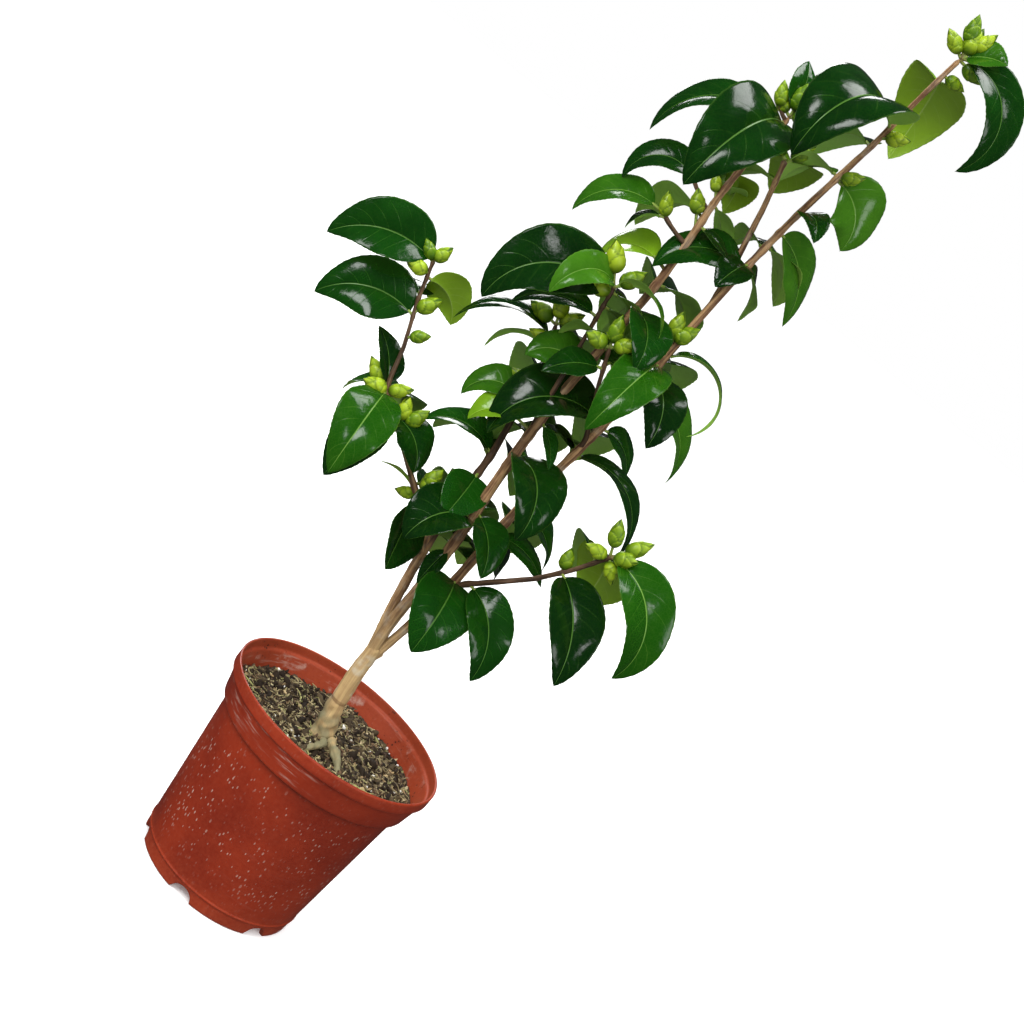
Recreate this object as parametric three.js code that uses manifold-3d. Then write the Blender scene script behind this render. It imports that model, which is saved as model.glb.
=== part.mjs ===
// A young camellia shrub in a moulded nursery pot, in millimetres, +Z up.
// The origin is the middle of the pot's flat underside, and the shrub faces -Y.
import * as THREE from "three";
import { mergeVertices } from "three/addons/utils/BufferGeometryUtils.js";
import Module from "manifold-3d";

const wasm = await Module();
wasm.setup();

// ---- pot and soil ----
const POT_HEIGHT = 170;
const RIM_RADIUS = 95;
const LIP_HEIGHT = 10;          // outward band under the rim
const COLLAR_HEIGHT = 32;       // wider part of the wall, measured from the rim
const COLLAR_FOOT_RADIUS = 88;
const BODY_TOP_RADIUS = 83.5;
const BASE_RADIUS = 70;
const WALL = 2.2;
const BEAD_HEIGHT = 13;         // raised line round the wall just above the foot
const BEAD_DEPTH = 0.9;
const POT_SEGMENTS = 24;
const DISC_RADIUS = 46;         // flat underside in the middle, level with the foot ring
const CHANNEL_INNER = 52;       // drainage channel between the disc and the foot ring
const CHANNEL_OUTER = 63;
const CHANNEL_HEIGHT = 10;
const NOTCHES = 6;              // notches through the foot ring, each with a drain hole behind it
const NOTCH_WIDTH = 20;
const NOTCH_HEIGHT = 9;
const NOTCH_START = 20;         // degrees from +X to the first notch
const HOLE_RADIUS = 3.5;
const SOIL_LEVEL = 146;
const SOIL_RELIEF = 2.2;
const SOIL_TILT = 0.02;         // the compost lies a little higher on the -X side
const LUMP_LENGTHS = [15, 12, 8]; // how fast the waves of the compost's top run along X, Y and across
const SOIL_RINGS = 3;
const GAP = 0.4;                // clearance kept between neighbouring solids
const FACET_TOLERANCE = 0.05;   // facets that lie flatter than this are joined

// ---- wood and foliage ----
const LIMB_SIDES = 6;
const RING_SPACING = 40;        // length of limb between two rings
const TAPER_POWER = 1.5;        // above 1 a limb keeps its girth longer before it thins
const FLARE = 3.2;              // extra radius of the trunk at the soil
const FLARE_DECAY = 14;         // how fast that extra radius dies away up the trunk
const SLEEVE = 4.5;             // how far a mass stands off the limb that carries it
const SLEEVE_SIDES = 4;
const SLEEVE_SPARE = 0.5;       // keeps a sleeve's flat sides clear of its round limb
const EDGE_GROWTH = 4;          // a lobe's sharp edges need this many gaps to keep one gap clear
const PAD_THICKNESS = 8;        // thickness of a leafy lobe at its middle
const STALK_WIDTH = 6;
const PAD_PROFILE = [[0, 0.32], [0.35, 1], [0.7, 0.86], [1, 0.1]];

// Limbs, foot to tip: name, radius at the foot, radius at the tip, and the few places it passes.
const TRUNK = ["trunk", 7.2, 5.9, [[-3, 0, 143], [-7, 0, 162], [-12, 0, 188], [-14, 0, 240]]];
const LIMBS = [
  ["stem_middle", 4.4, 2.0, [[-16, -1, 230], [-17, -3, 262], [-17, -5, 300], [-15, -5, 325], [-19, -5, 365],
    [-22, -5, 410], [-25, -5, 450], [-23, -4, 520], [-20, -3, 600], [-26, -2, 685], [-21, -2, 742]]],
  ["stem_left", 4.2, 1.4, [[-16, 1, 232], [-24, 4, 268], [-32, 9, 315], [-36, 13, 360], [-36, 14, 400],
    [-42, 12, 440], [-49, 8, 488], [-60, 4, 520]]],
  ["leader", 3.7, 1.7, [[-12, 1, 230], [-5, 3, 258], [1, 4, 305], [4, 5, 390], [13, 4, 465], [18, 4, 540],
    [20, 4, 600], [27, 4, 690], [38, 4, 765], [42, 4, 810], [47, 4, 846]]],
  ["leader_fork", 2.4, 1.8, [[20, 5, 606], [12, 11, 648], [3, 12, 690], [-4, 10, 716]]],
  ["bough_left", 2.6, 1.7, [[-33, 8, 316], [-60, 2, 350], [-83, 0, 366], [-108, -4, 386], [-130, -8, 402]]],
  ["bough_left_tip", 1.7, 1.4, [[-130, -8, 403], [-137, -2, 430], [-148, 2, 456], [-157, 4, 483], [-161, 4, 499]]],
  ["bough_right", 2.3, 1.6, [[3, 3, 313], [20, -4, 332], [57, -10, 372], [73, -14, 400], [81, -16, 413]]],
  ["bough_inner_left", 1.9, 1.4, [[-26, -5, 446], [-32, -12, 495], [-37, -12, 530], [-43, -12, 570]]],
  ["bough_inner_front", 1.9, 1.4, [[13, 3, 462], [-2, -16, 498], [-13, -23, 522], [-18, -25, 536]]],
];

// Surface roots that run out from the trunk's foot over the soil, written as limbs are.
const ROOTS = [
  ["root_right", 4.4, 1.5, [[3, -3, 152], [10, -12, 152.5], [19, -24, 150], [26, -37, 145]]],
  ["root_front", 3.4, 1.5, [[1, -5, 151], [1, -17, 151], [-5, -32, 149], [-11, -42, 145]]],
];

// Masses of foliage: name, the limb that carries it, and one row for each leafy lobe:
// height on the limb, heading round the plant (0 is +X, -90 the front), rise at the lobe's foot,
// rise at its tip, distance from limb to lobe, length, width, roll about its own length.
const MASSES = [
  ["foliage_left_top", "bough_left_tip", [
    [498, 185, 12, -62, 4, 84, 48, -60],
    [457, 185, 12, -68, 4, 78, 50, -60],
    [486, 35, 8, -70, 4, 46, 36, -60]]],
  ["foliage_left_hub", "bough_left", [
    [401, -85, -8, -97, 5, 86, 46, 5],
    [390, -115, -45, -92, 6, 66, 44, 0],
    [390, -10, 5, -75, 6, 46, 36, 30],
    [402, 160, -10, -75, 5, 34, 34, -20],
    [400, 80, 15, -70, 6, 78, 42, 0]]],
  ["foliage_left_low", "bough_left", [
    [347, -70, -55, -32, 5, 60, 42, -30],
    [356, 60, 10, -60, 6, 66, 38, 0]]],
  ["foliage_low_left", "stem_left", [
    [408, 182, 32, -60, 5, 62, 30, -20],
    [392, -85, -25, -60, 6, 50, 36, 0],
    [405, 140, 20, -60, 8, 68, 40, 0],
    [368, 110, 0, -75, 8, 64, 40, 0]]],
  ["foliage_low_middle", "stem_middle", [
    [364, -130, 12, -95, 5, 62, 48, -10],
    [372, -30, -10, -75, 6, 50, 34, 20],
    [338, -110, -60, -90, 5, 34, 16, 0]]],
  ["foliage_low_front", "leader", [
    [316, -80, -5, -95, 4, 74, 52, 0],
    [364, 10, 18, -50, 5, 54, 22, 30],
    [390, 15, 8, -80, 6, 54, 30, 20],
    [340, 100, 10, -70, 8, 74, 44, 0],
    [376, 75, 10, -70, 8, 76, 44, 0]]],
  ["foliage_right_low", "bough_right", [
    [322, -40, 0, -85, 6, 82, 42, 30]]],
  ["foliage_right", "bough_right", [
    [378, -45, -8, -78, 5, 90, 46, 25],
    [412, 42, -12, -92, 6, 60, 46, 10],
    [413, -20, 12, -105, 8, 108, 46, 35],
    [400, 95, 15, -75, 6, 78, 42, 0]]],
  ["foliage_middle", "stem_middle", [
    [424, -45, 22, -96, 5, 86, 52, 12],
    [442, 120, 5, -85, 6, 56, 42, -20],
    [446, 185, 8, -85, 14, 42, 32, -30],
    [415, 80, 10, -70, 8, 78, 44, 0]]],
  ["foliage_middle_left", "stem_left", [
    [508, 188, 25, -80, 5, 82, 26, -10],
    [500, 172, 8, -88, 5, 52, 20, 10],
    [456, 180, 20, -90, 5, 52, 30, -40],
    [480, 100, 10, -70, 8, 82, 44, 0]]],
  ["foliage_middle_front", "leader", [
    [482, -160, 15, -100, 8, 98, 56, -25],
    [480, 25, 5, -70, 6, 48, 24, 40],
    [449, -8, 35, -95, 5, 102, 26, 15],
    [470, 90, 10, -75, 8, 82, 46, 0]]],
  ["foliage_middle_right", "leader", [
    [540, -98, 5, -98, 4, 98, 42, 0],
    [534, -50, 8, -90, 5, 66, 38, 20],
    [520, 20, 10, -90, 10, 84, 36, 35],
    [552, 5, 48, -128, 4, 96, 24, 0],
    [545, 80, 15, -70, 8, 82, 44, 0]]],
  ["foliage_inner_front", "bough_inner_front", [
    [520, -150, -10, -60, 5, 44, 30, -20],
    [532, 150, 20, -70, 5, 48, 32, 0]]],
  ["foliage_inner_left", "bough_inner_left", [
    [563, 198, 15, -95, 6, 104, 54, -50],
    [572, -130, 30, -95, 4, 66, 28, -30],
    [574, -12, 42, -60, 4, 54, 22, -10],
    [556, -60, -5, -85, 5, 50, 34, 0],
    [545, 185, 5, -60, 5, 64, 26, -30]]],
  ["foliage_upper_middle", "stem_middle", [
    [602, 165, 10, -85, 14, 50, 40, -30],
    [566, -50, 8, -90, 5, 54, 40, 10],
    [505, -165, 25, -70, 5, 46, 36, -40],
    [560, 100, 10, -70, 8, 82, 46, 0]]],
  ["foliage_upper_left", "stem_middle", [
    [630, 180, 10, -85, 38, 62, 32, -35],
    [664, 175, 25, -100, 32, 62, 28, -25],
    [688, 75, -5, -85, 5, 46, 30, 0],
    [650, 110, 10, -70, 8, 78, 44, 0]]],
  ["foliage_upper_right", "leader", [
    [636, -170, 12, -85, 4, 72, 38, -35],
    [640, 45, -15, -95, 5, 46, 34, 30],
    [676, 28, 4, -80, 5, 80, 42, 50],
    [692, -60, 35, -60, 3, 44, 22, 30],
    [665, 95, 10, -70, 8, 82, 44, 0]]],
  ["foliage_fork", "leader_fork", [
    [712, 45, 10, -80, 5, 56, 46, 20],
    [700, 150, 0, -80, 5, 50, 34, 0]]],
  ["foliage_left_crown", "stem_middle", [
    [742, -125, 5, -98, 4, 112, 58, -10],
    [736, 178, 12, -98, 8, 104, 32, -30],
    [745, 145, 65, 10, 5, 42, 28, 0],
    [730, 95, 10, -70, 8, 82, 46, 0]]],
  ["foliage_right_crown", "leader", [
    [794, -118, 0, -90, 5, 108, 72, -5],
    [726, 15, -2, -88, 5, 68, 46, 60],
    [760, 120, 10, -70, 8, 78, 46, 0]]],
  ["foliage_top", "leader", [
    [822, 85, 10, -90, 4, 84, 52, 0],
    [846, -15, 18, -125, 10, 108, 38, 20],
    [846, 165, 78, 84, 3, 27, 28, 0],
    [842, 130, 20, -60, 5, 58, 36, 0]]],
];

const rad = THREE.MathUtils.degToRad;
const lerp = THREE.MathUtils.lerp;
const vec = (x, y, z) => new THREE.Vector3(x, y, z);

/** Closed manifold solid of a closed three.js geometry. */
function solid(geometry) {
  const bare = geometry.clone();
  bare.deleteAttribute("normal");
  bare.deleteAttribute("uv");
  const merged = mergeVertices(bare, 1e-4);
  const vertProperties = Float32Array.from(merged.attributes.position.array);
  const triVerts = Uint32Array.from(merged.index.array);
  return new wasm.Manifold(new wasm.Mesh({ numProp: 3, vertProperties, triVerts }));
}

/** three.js geometry of the largest piece of a manifold solid. */
function largestPiece(shape) {
  const pieces = shape.simplify(FACET_TOLERANCE).decompose();
  pieces.sort((a, b) => b.volume() - a.volume());
  const mesh = pieces[0].getMesh();
  const geometry = new THREE.BufferGeometry();
  geometry.setAttribute("position", new THREE.BufferAttribute(mesh.vertProperties, 3));
  geometry.setIndex(new THREE.BufferAttribute(mesh.triVerts, 1));
  geometry.computeVertexNormals();
  return geometry;
}

/** Closed skin over a row of rings that all have the same number of points. */
function skin(rings) {
  const sides = rings[0].length;
  const last = rings.length - 1;
  const points = rings.flat();
  const middle = (ring) => ring.reduce((sum, p) => sum.add(p), vec(0, 0, 0)).divideScalar(sides);
  points.push(middle(rings[0]), middle(rings[last]));
  const index = [];
  for (let s = 0; s < sides; s++) {
    const t = (s + 1) % sides;
    for (let r = 0; r < last; r++) {
      const a = r * sides;
      const b = a + sides;
      index.push(a + s, a + t, b + t, a + s, b + t, b + s);
    }
    index.push(points.length - 2, t, s);
    index.push(points.length - 1, last * sides + s, last * sides + t);
  }
  const geometry = new THREE.BufferGeometry().setFromPoints(points);
  geometry.setIndex(index);
  return geometry;
}

/** Round bar along a curve from share t0 to t1; grow makes it fatter and longer all round. */
function bar(curve, radiusAt, t0, t1, steps, sides, grow) {
  const rings = [];
  const chord = curve.getPointAt(t1).sub(curve.getPointAt(t0));
  const hinge = Math.abs(chord.y) > Math.abs(chord.z) ? vec(0, 0, 1) : vec(0, 1, 0);
  for (let i = 0; i <= steps; i++) {
    const t = lerp(t0, t1, i / steps);
    const tangent = curve.getTangentAt(t);
    const side = hinge.clone().cross(tangent).normalize();
    const up = tangent.clone().cross(side);
    const middle = curve.getPointAt(t);
    if (i === 0) middle.addScaledVector(tangent, -grow);
    if (i === steps) middle.addScaledVector(tangent, grow);
    const ring = [];
    for (let s = 0; s < sides; s++) {
      const angle = (2 * Math.PI * s) / sides;
      const point = middle.clone();
      point.addScaledVector(side, (radiusAt(t) + grow) * Math.cos(angle));
      point.addScaledVector(up, (radiusAt(t) + grow) * Math.sin(angle));
      ring.push(point);
    }
    rings.push(ring);
  }
  return solid(skin(rings));
}

/** A limb's curve, its radius along the way, and its solid with an optional growth. */
function limb([name, footRadius, tipRadius, places], flare = 0) {
  const curve = new THREE.CatmullRomCurve3(places.map((p) => vec(...p)), false, "centripetal");
  const radiusAt = (t) => {
    return lerp(footRadius, tipRadius, t ** TAPER_POWER) + flare * Math.exp(-FLARE_DECAY * t);
  };
  const steps = Math.max(3, Math.ceil(curve.getLength() / RING_SPACING));
  const make = (grow) => bar(curve, radiusAt, 0, 1, steps, LIMB_SIDES, grow);
  return { name, curve, radiusAt, make };
}

/** Share of the curve's length at which it reaches a height; the curve rises all the way. */
function shareAtHeight(curve, height) {
  let low = 0;
  let high = 1;
  for (let i = 0; i < 20; i++) {
    const middle = (low + high) / 2;
    if (curve.getPointAt(middle).z < height) low = middle;
    else high = middle;
  }
  return (low + high) / 2;
}

/** A leafy lobe: a thin pad with a leaf's outline that arches in one upright plane. */
function lobe(carrier, row, grow) {
  const [height, heading, footRise, tipRise, stalk, length, width, roll] = row;
  const out = vec(Math.cos(rad(heading)), Math.sin(rad(heading)), 0);
  const across = vec(-out.y, out.x, 0);
  const rings = [];
  const middle = carrier.curve.getPointAt(shareAtHeight(carrier.curve, height));
  const addRing = (rise, breadth, depth) => {
    const up = vec(0, 0, Math.cos(rad(rise))).addScaledVector(out, -Math.sin(rad(rise)));
    const edge = across.clone().multiplyScalar(Math.cos(rad(roll)));
    edge.addScaledVector(up, Math.sin(rad(roll)));
    const face = up.multiplyScalar(Math.cos(rad(roll)));
    face.addScaledVector(across, -Math.sin(rad(roll)));
    const under = middle.clone().addScaledVector(face, -depth / 3 - grow);
    rings.push([
      under.clone().addScaledVector(edge, -breadth / 2 - EDGE_GROWTH * grow),
      under.clone().addScaledVector(edge, breadth / 2 + EDGE_GROWTH * grow),
      middle.clone().addScaledVector(face, (2 * depth) / 3 + 2 * grow),
    ]);
  };
  const advance = (rise, distance) => {
    middle.addScaledVector(out, Math.cos(rad(rise)) * distance);
    middle.z += Math.sin(rad(rise)) * distance;
  };
  addRing(footRise, STALK_WIDTH, STALK_WIDTH);
  advance(footRise, stalk);
  PAD_PROFILE.forEach(([t, share], i) => {
    const before = i ? PAD_PROFILE[i - 1][0] : 0;
    advance(lerp(footRise, tipRise, (before + t) / 2), (t - before) * length + (t === 1 ? grow : 0));
    addRing(lerp(footRise, tipRise, t), share * width, Math.max(share, 0.3) * PAD_THICKNESS);
  });
  return solid(skin(rings));
}

/** A mass of foliage: a sleeve round its limb with leafy lobes that spread from it. */
function foliage(carrier, rows, grow) {
  const heights = rows.map((row) => row[0]);
  const share = (height) => shareAtHeight(carrier.curve, height);
  const low = share(Math.min(...heights) - SLEEVE);
  const high = Math.max(share(Math.max(...heights) + SLEEVE), low + 0.02);
  const radiusAt = (t) => carrier.radiusAt(t) + SLEEVE;
  const steps = Math.ceil(((high - low) * carrier.curve.getLength()) / RING_SPACING);
  const sleeve = bar(carrier.curve, radiusAt, low, high, steps, SLEEVE_SIDES, grow + SLEEVE_SPARE);
  return rows.reduce((mass, row) => mass.add(lobe(carrier, row, grow)), sleeve);
}

/** The pot's wall in section: outside from the middle of the underside up, then inside down. */
function potProfile() {
  const collarFoot = POT_HEIGHT - COLLAR_HEIGHT;
  const lipFoot = POT_HEIGHT - LIP_HEIGHT;
  const beadRadius = lerp(BASE_RADIUS, BODY_TOP_RADIUS, BEAD_HEIGHT / collarFoot);
  const outside = [
    [0, 0], [DISC_RADIUS, 0], [CHANNEL_INNER, CHANNEL_HEIGHT], [CHANNEL_OUTER, CHANNEL_HEIGHT],
    [CHANNEL_OUTER + WALL, 0], [BASE_RADIUS, 0], [beadRadius + BEAD_DEPTH, BEAD_HEIGHT],
    [beadRadius, BEAD_HEIGHT + BEAD_DEPTH], [BODY_TOP_RADIUS, collarFoot],
    [COLLAR_FOOT_RADIUS, collarFoot], [RIM_RADIUS - WALL, lipFoot], [RIM_RADIUS, lipFoot],
    [RIM_RADIUS, POT_HEIGHT],
  ];
  const inside = [
    [RIM_RADIUS - WALL, POT_HEIGHT], [RIM_RADIUS - WALL, lipFoot + WALL],
    [RIM_RADIUS - 2 * WALL, lipFoot], [COLLAR_FOOT_RADIUS - WALL, collarFoot + WALL],
    [BODY_TOP_RADIUS - WALL, collarFoot - WALL / 2],
    [BASE_RADIUS - WALL, CHANNEL_HEIGHT + WALL], [CHANNEL_INNER - WALL, CHANNEL_HEIGHT + WALL],
    [DISC_RADIUS - WALL, WALL], [0, WALL],
  ];
  return { outside, inside };
}

function makePot() {
  const { outside, inside } = potProfile();
  const section = [...outside, ...inside].map(([r, z]) => new THREE.Vector2(r, z));
  const turned = new THREE.LatheGeometry(section, POT_SEGMENTS);
  turned.rotateX(Math.PI / 2);
  let pot = solid(turned);
  for (let i = 0; i < NOTCHES; i++) {
    const heading = rad(NOTCH_START + (360 / NOTCHES) * i);
    const notchLength = 2 * (BASE_RADIUS - CHANNEL_OUTER);
    const notch = new THREE.CylinderGeometry(NOTCH_WIDTH / 2, NOTCH_WIDTH / 2, notchLength, 8);
    notch.scale(1, 1, NOTCH_HEIGHT / (NOTCH_WIDTH / 2));
    notch.rotateZ(Math.PI / 2);
    notch.translate(BASE_RADIUS, 0, 0);
    notch.rotateZ(heading);
    const hole = new THREE.CylinderGeometry(HOLE_RADIUS, HOLE_RADIUS, 4 * WALL, 6);
    hole.rotateX(Math.PI / 2);
    hole.translate((CHANNEL_INNER + CHANNEL_OUTER) / 2, 0, CHANNEL_HEIGHT);
    hole.rotateZ(heading);
    pot = pot.subtract(solid(notch)).subtract(solid(hole));
  }
  return pot;
}

/** Height of the compost's uneven top. */
function soilTop(x, y) {
  const [along, aside, slant] = LUMP_LENGTHS;
  const lumps = Math.sin(x / along + 1) * Math.cos(y / aside) + Math.sin((x - y) / slant) / 2;
  return SOIL_LEVEL + SOIL_RELIEF * lumps - SOIL_TILT * x;
}

function makeSoil() {
  const wall = potProfile().inside.slice(3, -1).reverse();
  const circle = (radius, heightAt) => {
    const ring = [];
    for (let s = 0; s < POT_SEGMENTS; s++) {
      const angle = (2 * Math.PI * s) / POT_SEGMENTS;
      const x = radius * Math.cos(angle);
      const y = radius * Math.sin(angle);
      ring.push(vec(x, y, heightAt(x, y)));
    }
    return ring;
  };
  const rings = wall.map(([r, z]) => circle(r - 2 * GAP, () => z + GAP));
  const edgeRadius = COLLAR_FOOT_RADIUS - WALL - 2 * GAP;
  for (let i = SOIL_RINGS; i > 0; i--) {
    rings.push(circle((edgeRadius * i) / SOIL_RINGS, soilTop));
  }
  return solid(skin(rings));
}

// ---- build: wood first, then what is cut round it ----
const COLOURS = {
  pot: [0x9c3520, 0.45],
  soil: [0x3a2f24, 0.95],
  wood: [0x8f7350, 0.85],
  foliage: [0x1f5a1e, 0.35],
};

const plant = new THREE.Group();

function place(name, shape, finish) {
  const [color, roughness] = COLOURS[finish];
  const material = new THREE.MeshStandardMaterial({ color, roughness, metalness: 0 });
  const mesh = new THREE.Mesh(largestPiece(shape), material);
  mesh.name = name;
  plant.add(mesh);
}

const trunk = limb(TRUNK, FLARE);
const woods = [trunk, ...ROOTS.map((row) => limb(row)), ...LIMBS.map((row) => limb(row))];
const grownWoods = woods.map((wood) => wood.make(GAP));
woods.forEach((wood, i) => {
  const earlier = grownWoods.slice(0, i);
  place(wood.name, earlier.reduce((shape, other) => shape.subtract(other), wood.make(0)), "wood");
});

const allWood = grownWoods.reduce((all, wood) => all.add(wood));
let taken = allWood;
for (const [name, carrierName, rows] of MASSES) {
  const carrier = woods.find((wood) => wood.name === carrierName);
  place(name, foliage(carrier, rows, 0).subtract(taken), "foliage");
  taken = taken.add(foliage(carrier, rows, GAP));
}

place("pot", makePot(), "pot");
place("soil", makeSoil().subtract(allWood), "soil");

export default plant;
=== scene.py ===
# %% [markdown]
# # A camellia shrub in a nursery pot
# The plant has three stems that part low down, glossy leaves in small sprays, and fat green flower buds
# at the ends of its shoots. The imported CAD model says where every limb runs, so each piece below is
# worked out round it and then takes its place. Everything is in metres.

# %% Load the frame
import bmesh
import bpy
import numpy as np
from mathutils import Matrix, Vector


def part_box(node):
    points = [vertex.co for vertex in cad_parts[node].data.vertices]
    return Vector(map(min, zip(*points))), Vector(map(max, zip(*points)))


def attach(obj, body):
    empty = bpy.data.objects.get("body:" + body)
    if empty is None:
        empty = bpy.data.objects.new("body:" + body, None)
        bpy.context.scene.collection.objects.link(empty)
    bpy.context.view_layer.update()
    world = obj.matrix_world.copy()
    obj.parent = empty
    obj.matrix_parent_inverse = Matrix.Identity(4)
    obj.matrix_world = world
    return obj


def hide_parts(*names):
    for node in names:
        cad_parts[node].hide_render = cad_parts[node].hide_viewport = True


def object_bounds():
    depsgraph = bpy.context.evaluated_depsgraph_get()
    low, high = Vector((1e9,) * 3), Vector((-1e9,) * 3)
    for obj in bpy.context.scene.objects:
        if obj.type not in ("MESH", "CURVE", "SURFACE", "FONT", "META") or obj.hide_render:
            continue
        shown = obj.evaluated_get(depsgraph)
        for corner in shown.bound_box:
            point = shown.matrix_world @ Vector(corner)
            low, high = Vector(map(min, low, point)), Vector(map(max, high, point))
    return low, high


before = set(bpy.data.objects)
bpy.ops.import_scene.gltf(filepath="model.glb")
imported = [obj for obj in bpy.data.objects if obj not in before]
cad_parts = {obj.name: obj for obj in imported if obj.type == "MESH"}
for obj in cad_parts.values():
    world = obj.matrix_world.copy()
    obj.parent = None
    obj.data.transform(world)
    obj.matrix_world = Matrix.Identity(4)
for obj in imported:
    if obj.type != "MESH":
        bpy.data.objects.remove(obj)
cad_box = [list(corner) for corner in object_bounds()]
MM = 0.001
FULL_TURN = 2 * np.pi
print("CAD box:", np.round(cad_box, 3).tolist())

# %% [markdown]
# ## Skins
# A stem, a leaf and a bud are all a row of rings with a point at either end. They could be modelled one
# by one, but there are hundreds of them. One function that turns a whole batch of ring grids into faces
# lets every piece be a formula on arrays. The same grid gives the map that a bake needs: each skin gets
# its own cell of the square, so no two overlap.

# %% Rings into faces
def ring_faces(count, rows, columns):
    """Faces of count closed skins, each of rows rings with columns points, then a foot and a tip point.

    A four-cornered face joins point j of ring i to j+1, then to the same two on ring i+1; fans of
    triangles close both ends. The ring runs anticlockwise about the way from foot to tip.
    """
    here = np.arange(columns)
    after = (here + 1) % columns
    low = np.arange(rows - 1)[:, None] * columns
    quads = np.stack([low + here, low + after, low + after + columns, low + here + columns], -1)
    top = (rows - 1) * columns
    foot = np.stack([np.full(columns, rows * columns), after, here], -1)
    tip = np.stack([np.full(columns, rows * columns + 1), top + here, top + after], -1)
    shift = np.arange(count)[:, None, None] * (rows * columns + 2)
    fans = np.concatenate([foot, tip])
    return (quads.reshape(-1, 4) + shift).reshape(-1, 4), (fans + shift).reshape(-1, 3)


print("a skin of 4 rings of 6 points:", [len(part) for part in ring_faces(1, 4, 6)], "quads and triangles")

# %% Map of the rings
MAP_MARGIN = 0.03          # empty border inside a cell of the map


def ring_map(count, rows, columns, strips):
    """Map corners that match ring_faces: u runs along a skin, v round it, one cell to a skin.

    The square is cut into strips side by side along u; a cell is (cell number + its own 0 to 1) times
    the cell's size.
    """
    here = np.arange(columns) / columns
    after = here + 1 / columns
    along = (np.arange(rows) + 1) / (rows + 1)
    low, high = [np.broadcast_to(a[:, None], (rows - 1, columns)) for a in (along[:-1], along[1:])]
    left, right = [np.broadcast_to(a, (rows - 1, columns)) for a in (here, after)]
    lanes = -(-count // strips)
    number = np.arange(count)
    cell = np.stack([number % strips, number // strips], -1)[:, None, :]
    size = np.array([1 / strips, 1 / lanes])

    def corners(*pairs):
        """The corners of one kind of face, each from its u and its v."""
        return np.stack([np.stack(pair, -1) for pair in pairs], -2)

    def placed(shape):
        """The same corners in every skin's cell, inside its border."""
        inside = MAP_MARGIN + (1 - 2 * MAP_MARGIN) * shape.reshape(1, -1, 2)
        return ((cell + inside) * size).reshape(-1, 2)

    middle = (here + after) / 2
    zero, one = np.zeros(columns), np.ones(columns)
    first, last = zero + along[0], zero + along[-1]
    quads = corners((low, left), (low, right), (high, right), (high, left))
    foot = corners((zero, middle), (first, after), (first, here))
    tip = corners((one, middle), (last, here), (last, after))
    return placed(quads), placed(np.concatenate([foot, tip]))


print("its map:", [len(part) for part in ring_map(1, 4, 6, 1)], "corners of quads and of triangles")

# %% A piece from arrays


def new_piece(name, points, faces, corner_map, material, layers, replaced=()):
    """A smooth mesh object from arrays, with its finish and the CAD nodes that it replaces."""
    mesh = bpy.data.meshes.new(name)
    corners = np.concatenate([f.ravel() for f in faces])
    sizes = np.concatenate([np.full(len(f), f.shape[1]) for f in faces])
    mesh.vertices.add(len(points))
    mesh.vertices.foreach_set("co", np.asarray(points, np.float32).ravel())
    mesh.loops.add(len(corners))
    mesh.loops.foreach_set("vertex_index", corners.astype(np.int32))
    mesh.polygons.add(len(sizes))
    mesh.polygons.foreach_set("loop_start", (np.cumsum(sizes) - sizes).astype(np.int32))
    mesh.update(calc_edges=True)
    mesh.polygons.foreach_set("use_smooth", np.ones(len(sizes), bool))
    layer = mesh.uv_layers.new(name="OFBake")
    layer.data.foreach_set("uv", np.concatenate(corner_map).astype(np.float32).ravel())
    for title, values in layers.items():
        values = np.asarray(values, np.float32)
        if values.ndim == 2:
            mesh.attributes.new(title, "FLOAT_VECTOR", "POINT").data.foreach_set("vector", values.ravel())
        else:
            mesh.attributes.new(title, "FLOAT", "POINT").data.foreach_set("value", values)
    mesh.validate()
    mesh.materials.append(material)
    piece = bpy.data.objects.new(name, mesh)
    bpy.context.scene.collection.objects.link(piece)
    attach(piece, "root")
    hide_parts(*replaced)
    print(f"{name}: {(sizes - 2).sum()} triangles")


def skin_piece(name, points, grid, strips, material, layers, replaced=()):
    """A piece of closed skins, count x rows x columns by grid; layers name the columns past x, y, z."""
    layers = {title: points[:, place] for title, place in layers.items()}
    new_piece(
        name, points[:, :3], ring_faces(*grid), ring_map(*grid, strips), material, layers, replaced
    )


# %% Ends, directions and noise
RIPPLES = 24               # sine waves in a noise


def with_ends(rings, foot, tip):
    """Points in the order of ring_faces: each skin's rings, then its foot point and its tip point."""
    count = len(rings)
    ends = np.stack([foot, tip], 1)
    return np.concatenate([rings.reshape(count, -1, rings.shape[-1]), ends], 1).reshape(-1, rings.shape[-1])


def unit(vectors):
    """Each vector divided by its length."""
    return vectors / np.maximum(np.linalg.norm(vectors, axis=-1, keepdims=True), 1e-12)


def smooth_step(value, low, high):
    """0 below low, 1 above high, and x squared times (3 - 2x) between them."""
    x = np.clip((value - low) / (high - low), 0, 1)
    return x * x * (3 - 2 * x)


def ripple(points, lengths, seed):
    """Smooth noise of about -1 to 1: the sum of RIPPLES sine waves in seeded directions, lengths long."""
    draw = np.random.default_rng(seed)
    ways = unit(draw.normal(size=(RIPPLES, points.shape[-1]))) * draw.uniform(0.7, 1.6, (RIPPLES, 1))
    angles = (points / np.asarray(lengths)) @ ways.T * FULL_TURN + draw.uniform(0, FULL_TURN, RIPPLES)
    return np.sin(angles).sum(-1) * np.sqrt(2 / RIPPLES) * 0.6


print("noise at one place:", ripple(np.zeros((1, 3)), 1.0, 0).round(2))

# %% [markdown]
# ## Shader maths
# A surface such as bark is easiest to think of as a formula: brown, plus a streak, minus a shadow. In
# Blender each step is a node. A small class stands for one output socket and adds the node when Python
# meets a plus or a times, so that the formula can be read.


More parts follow.
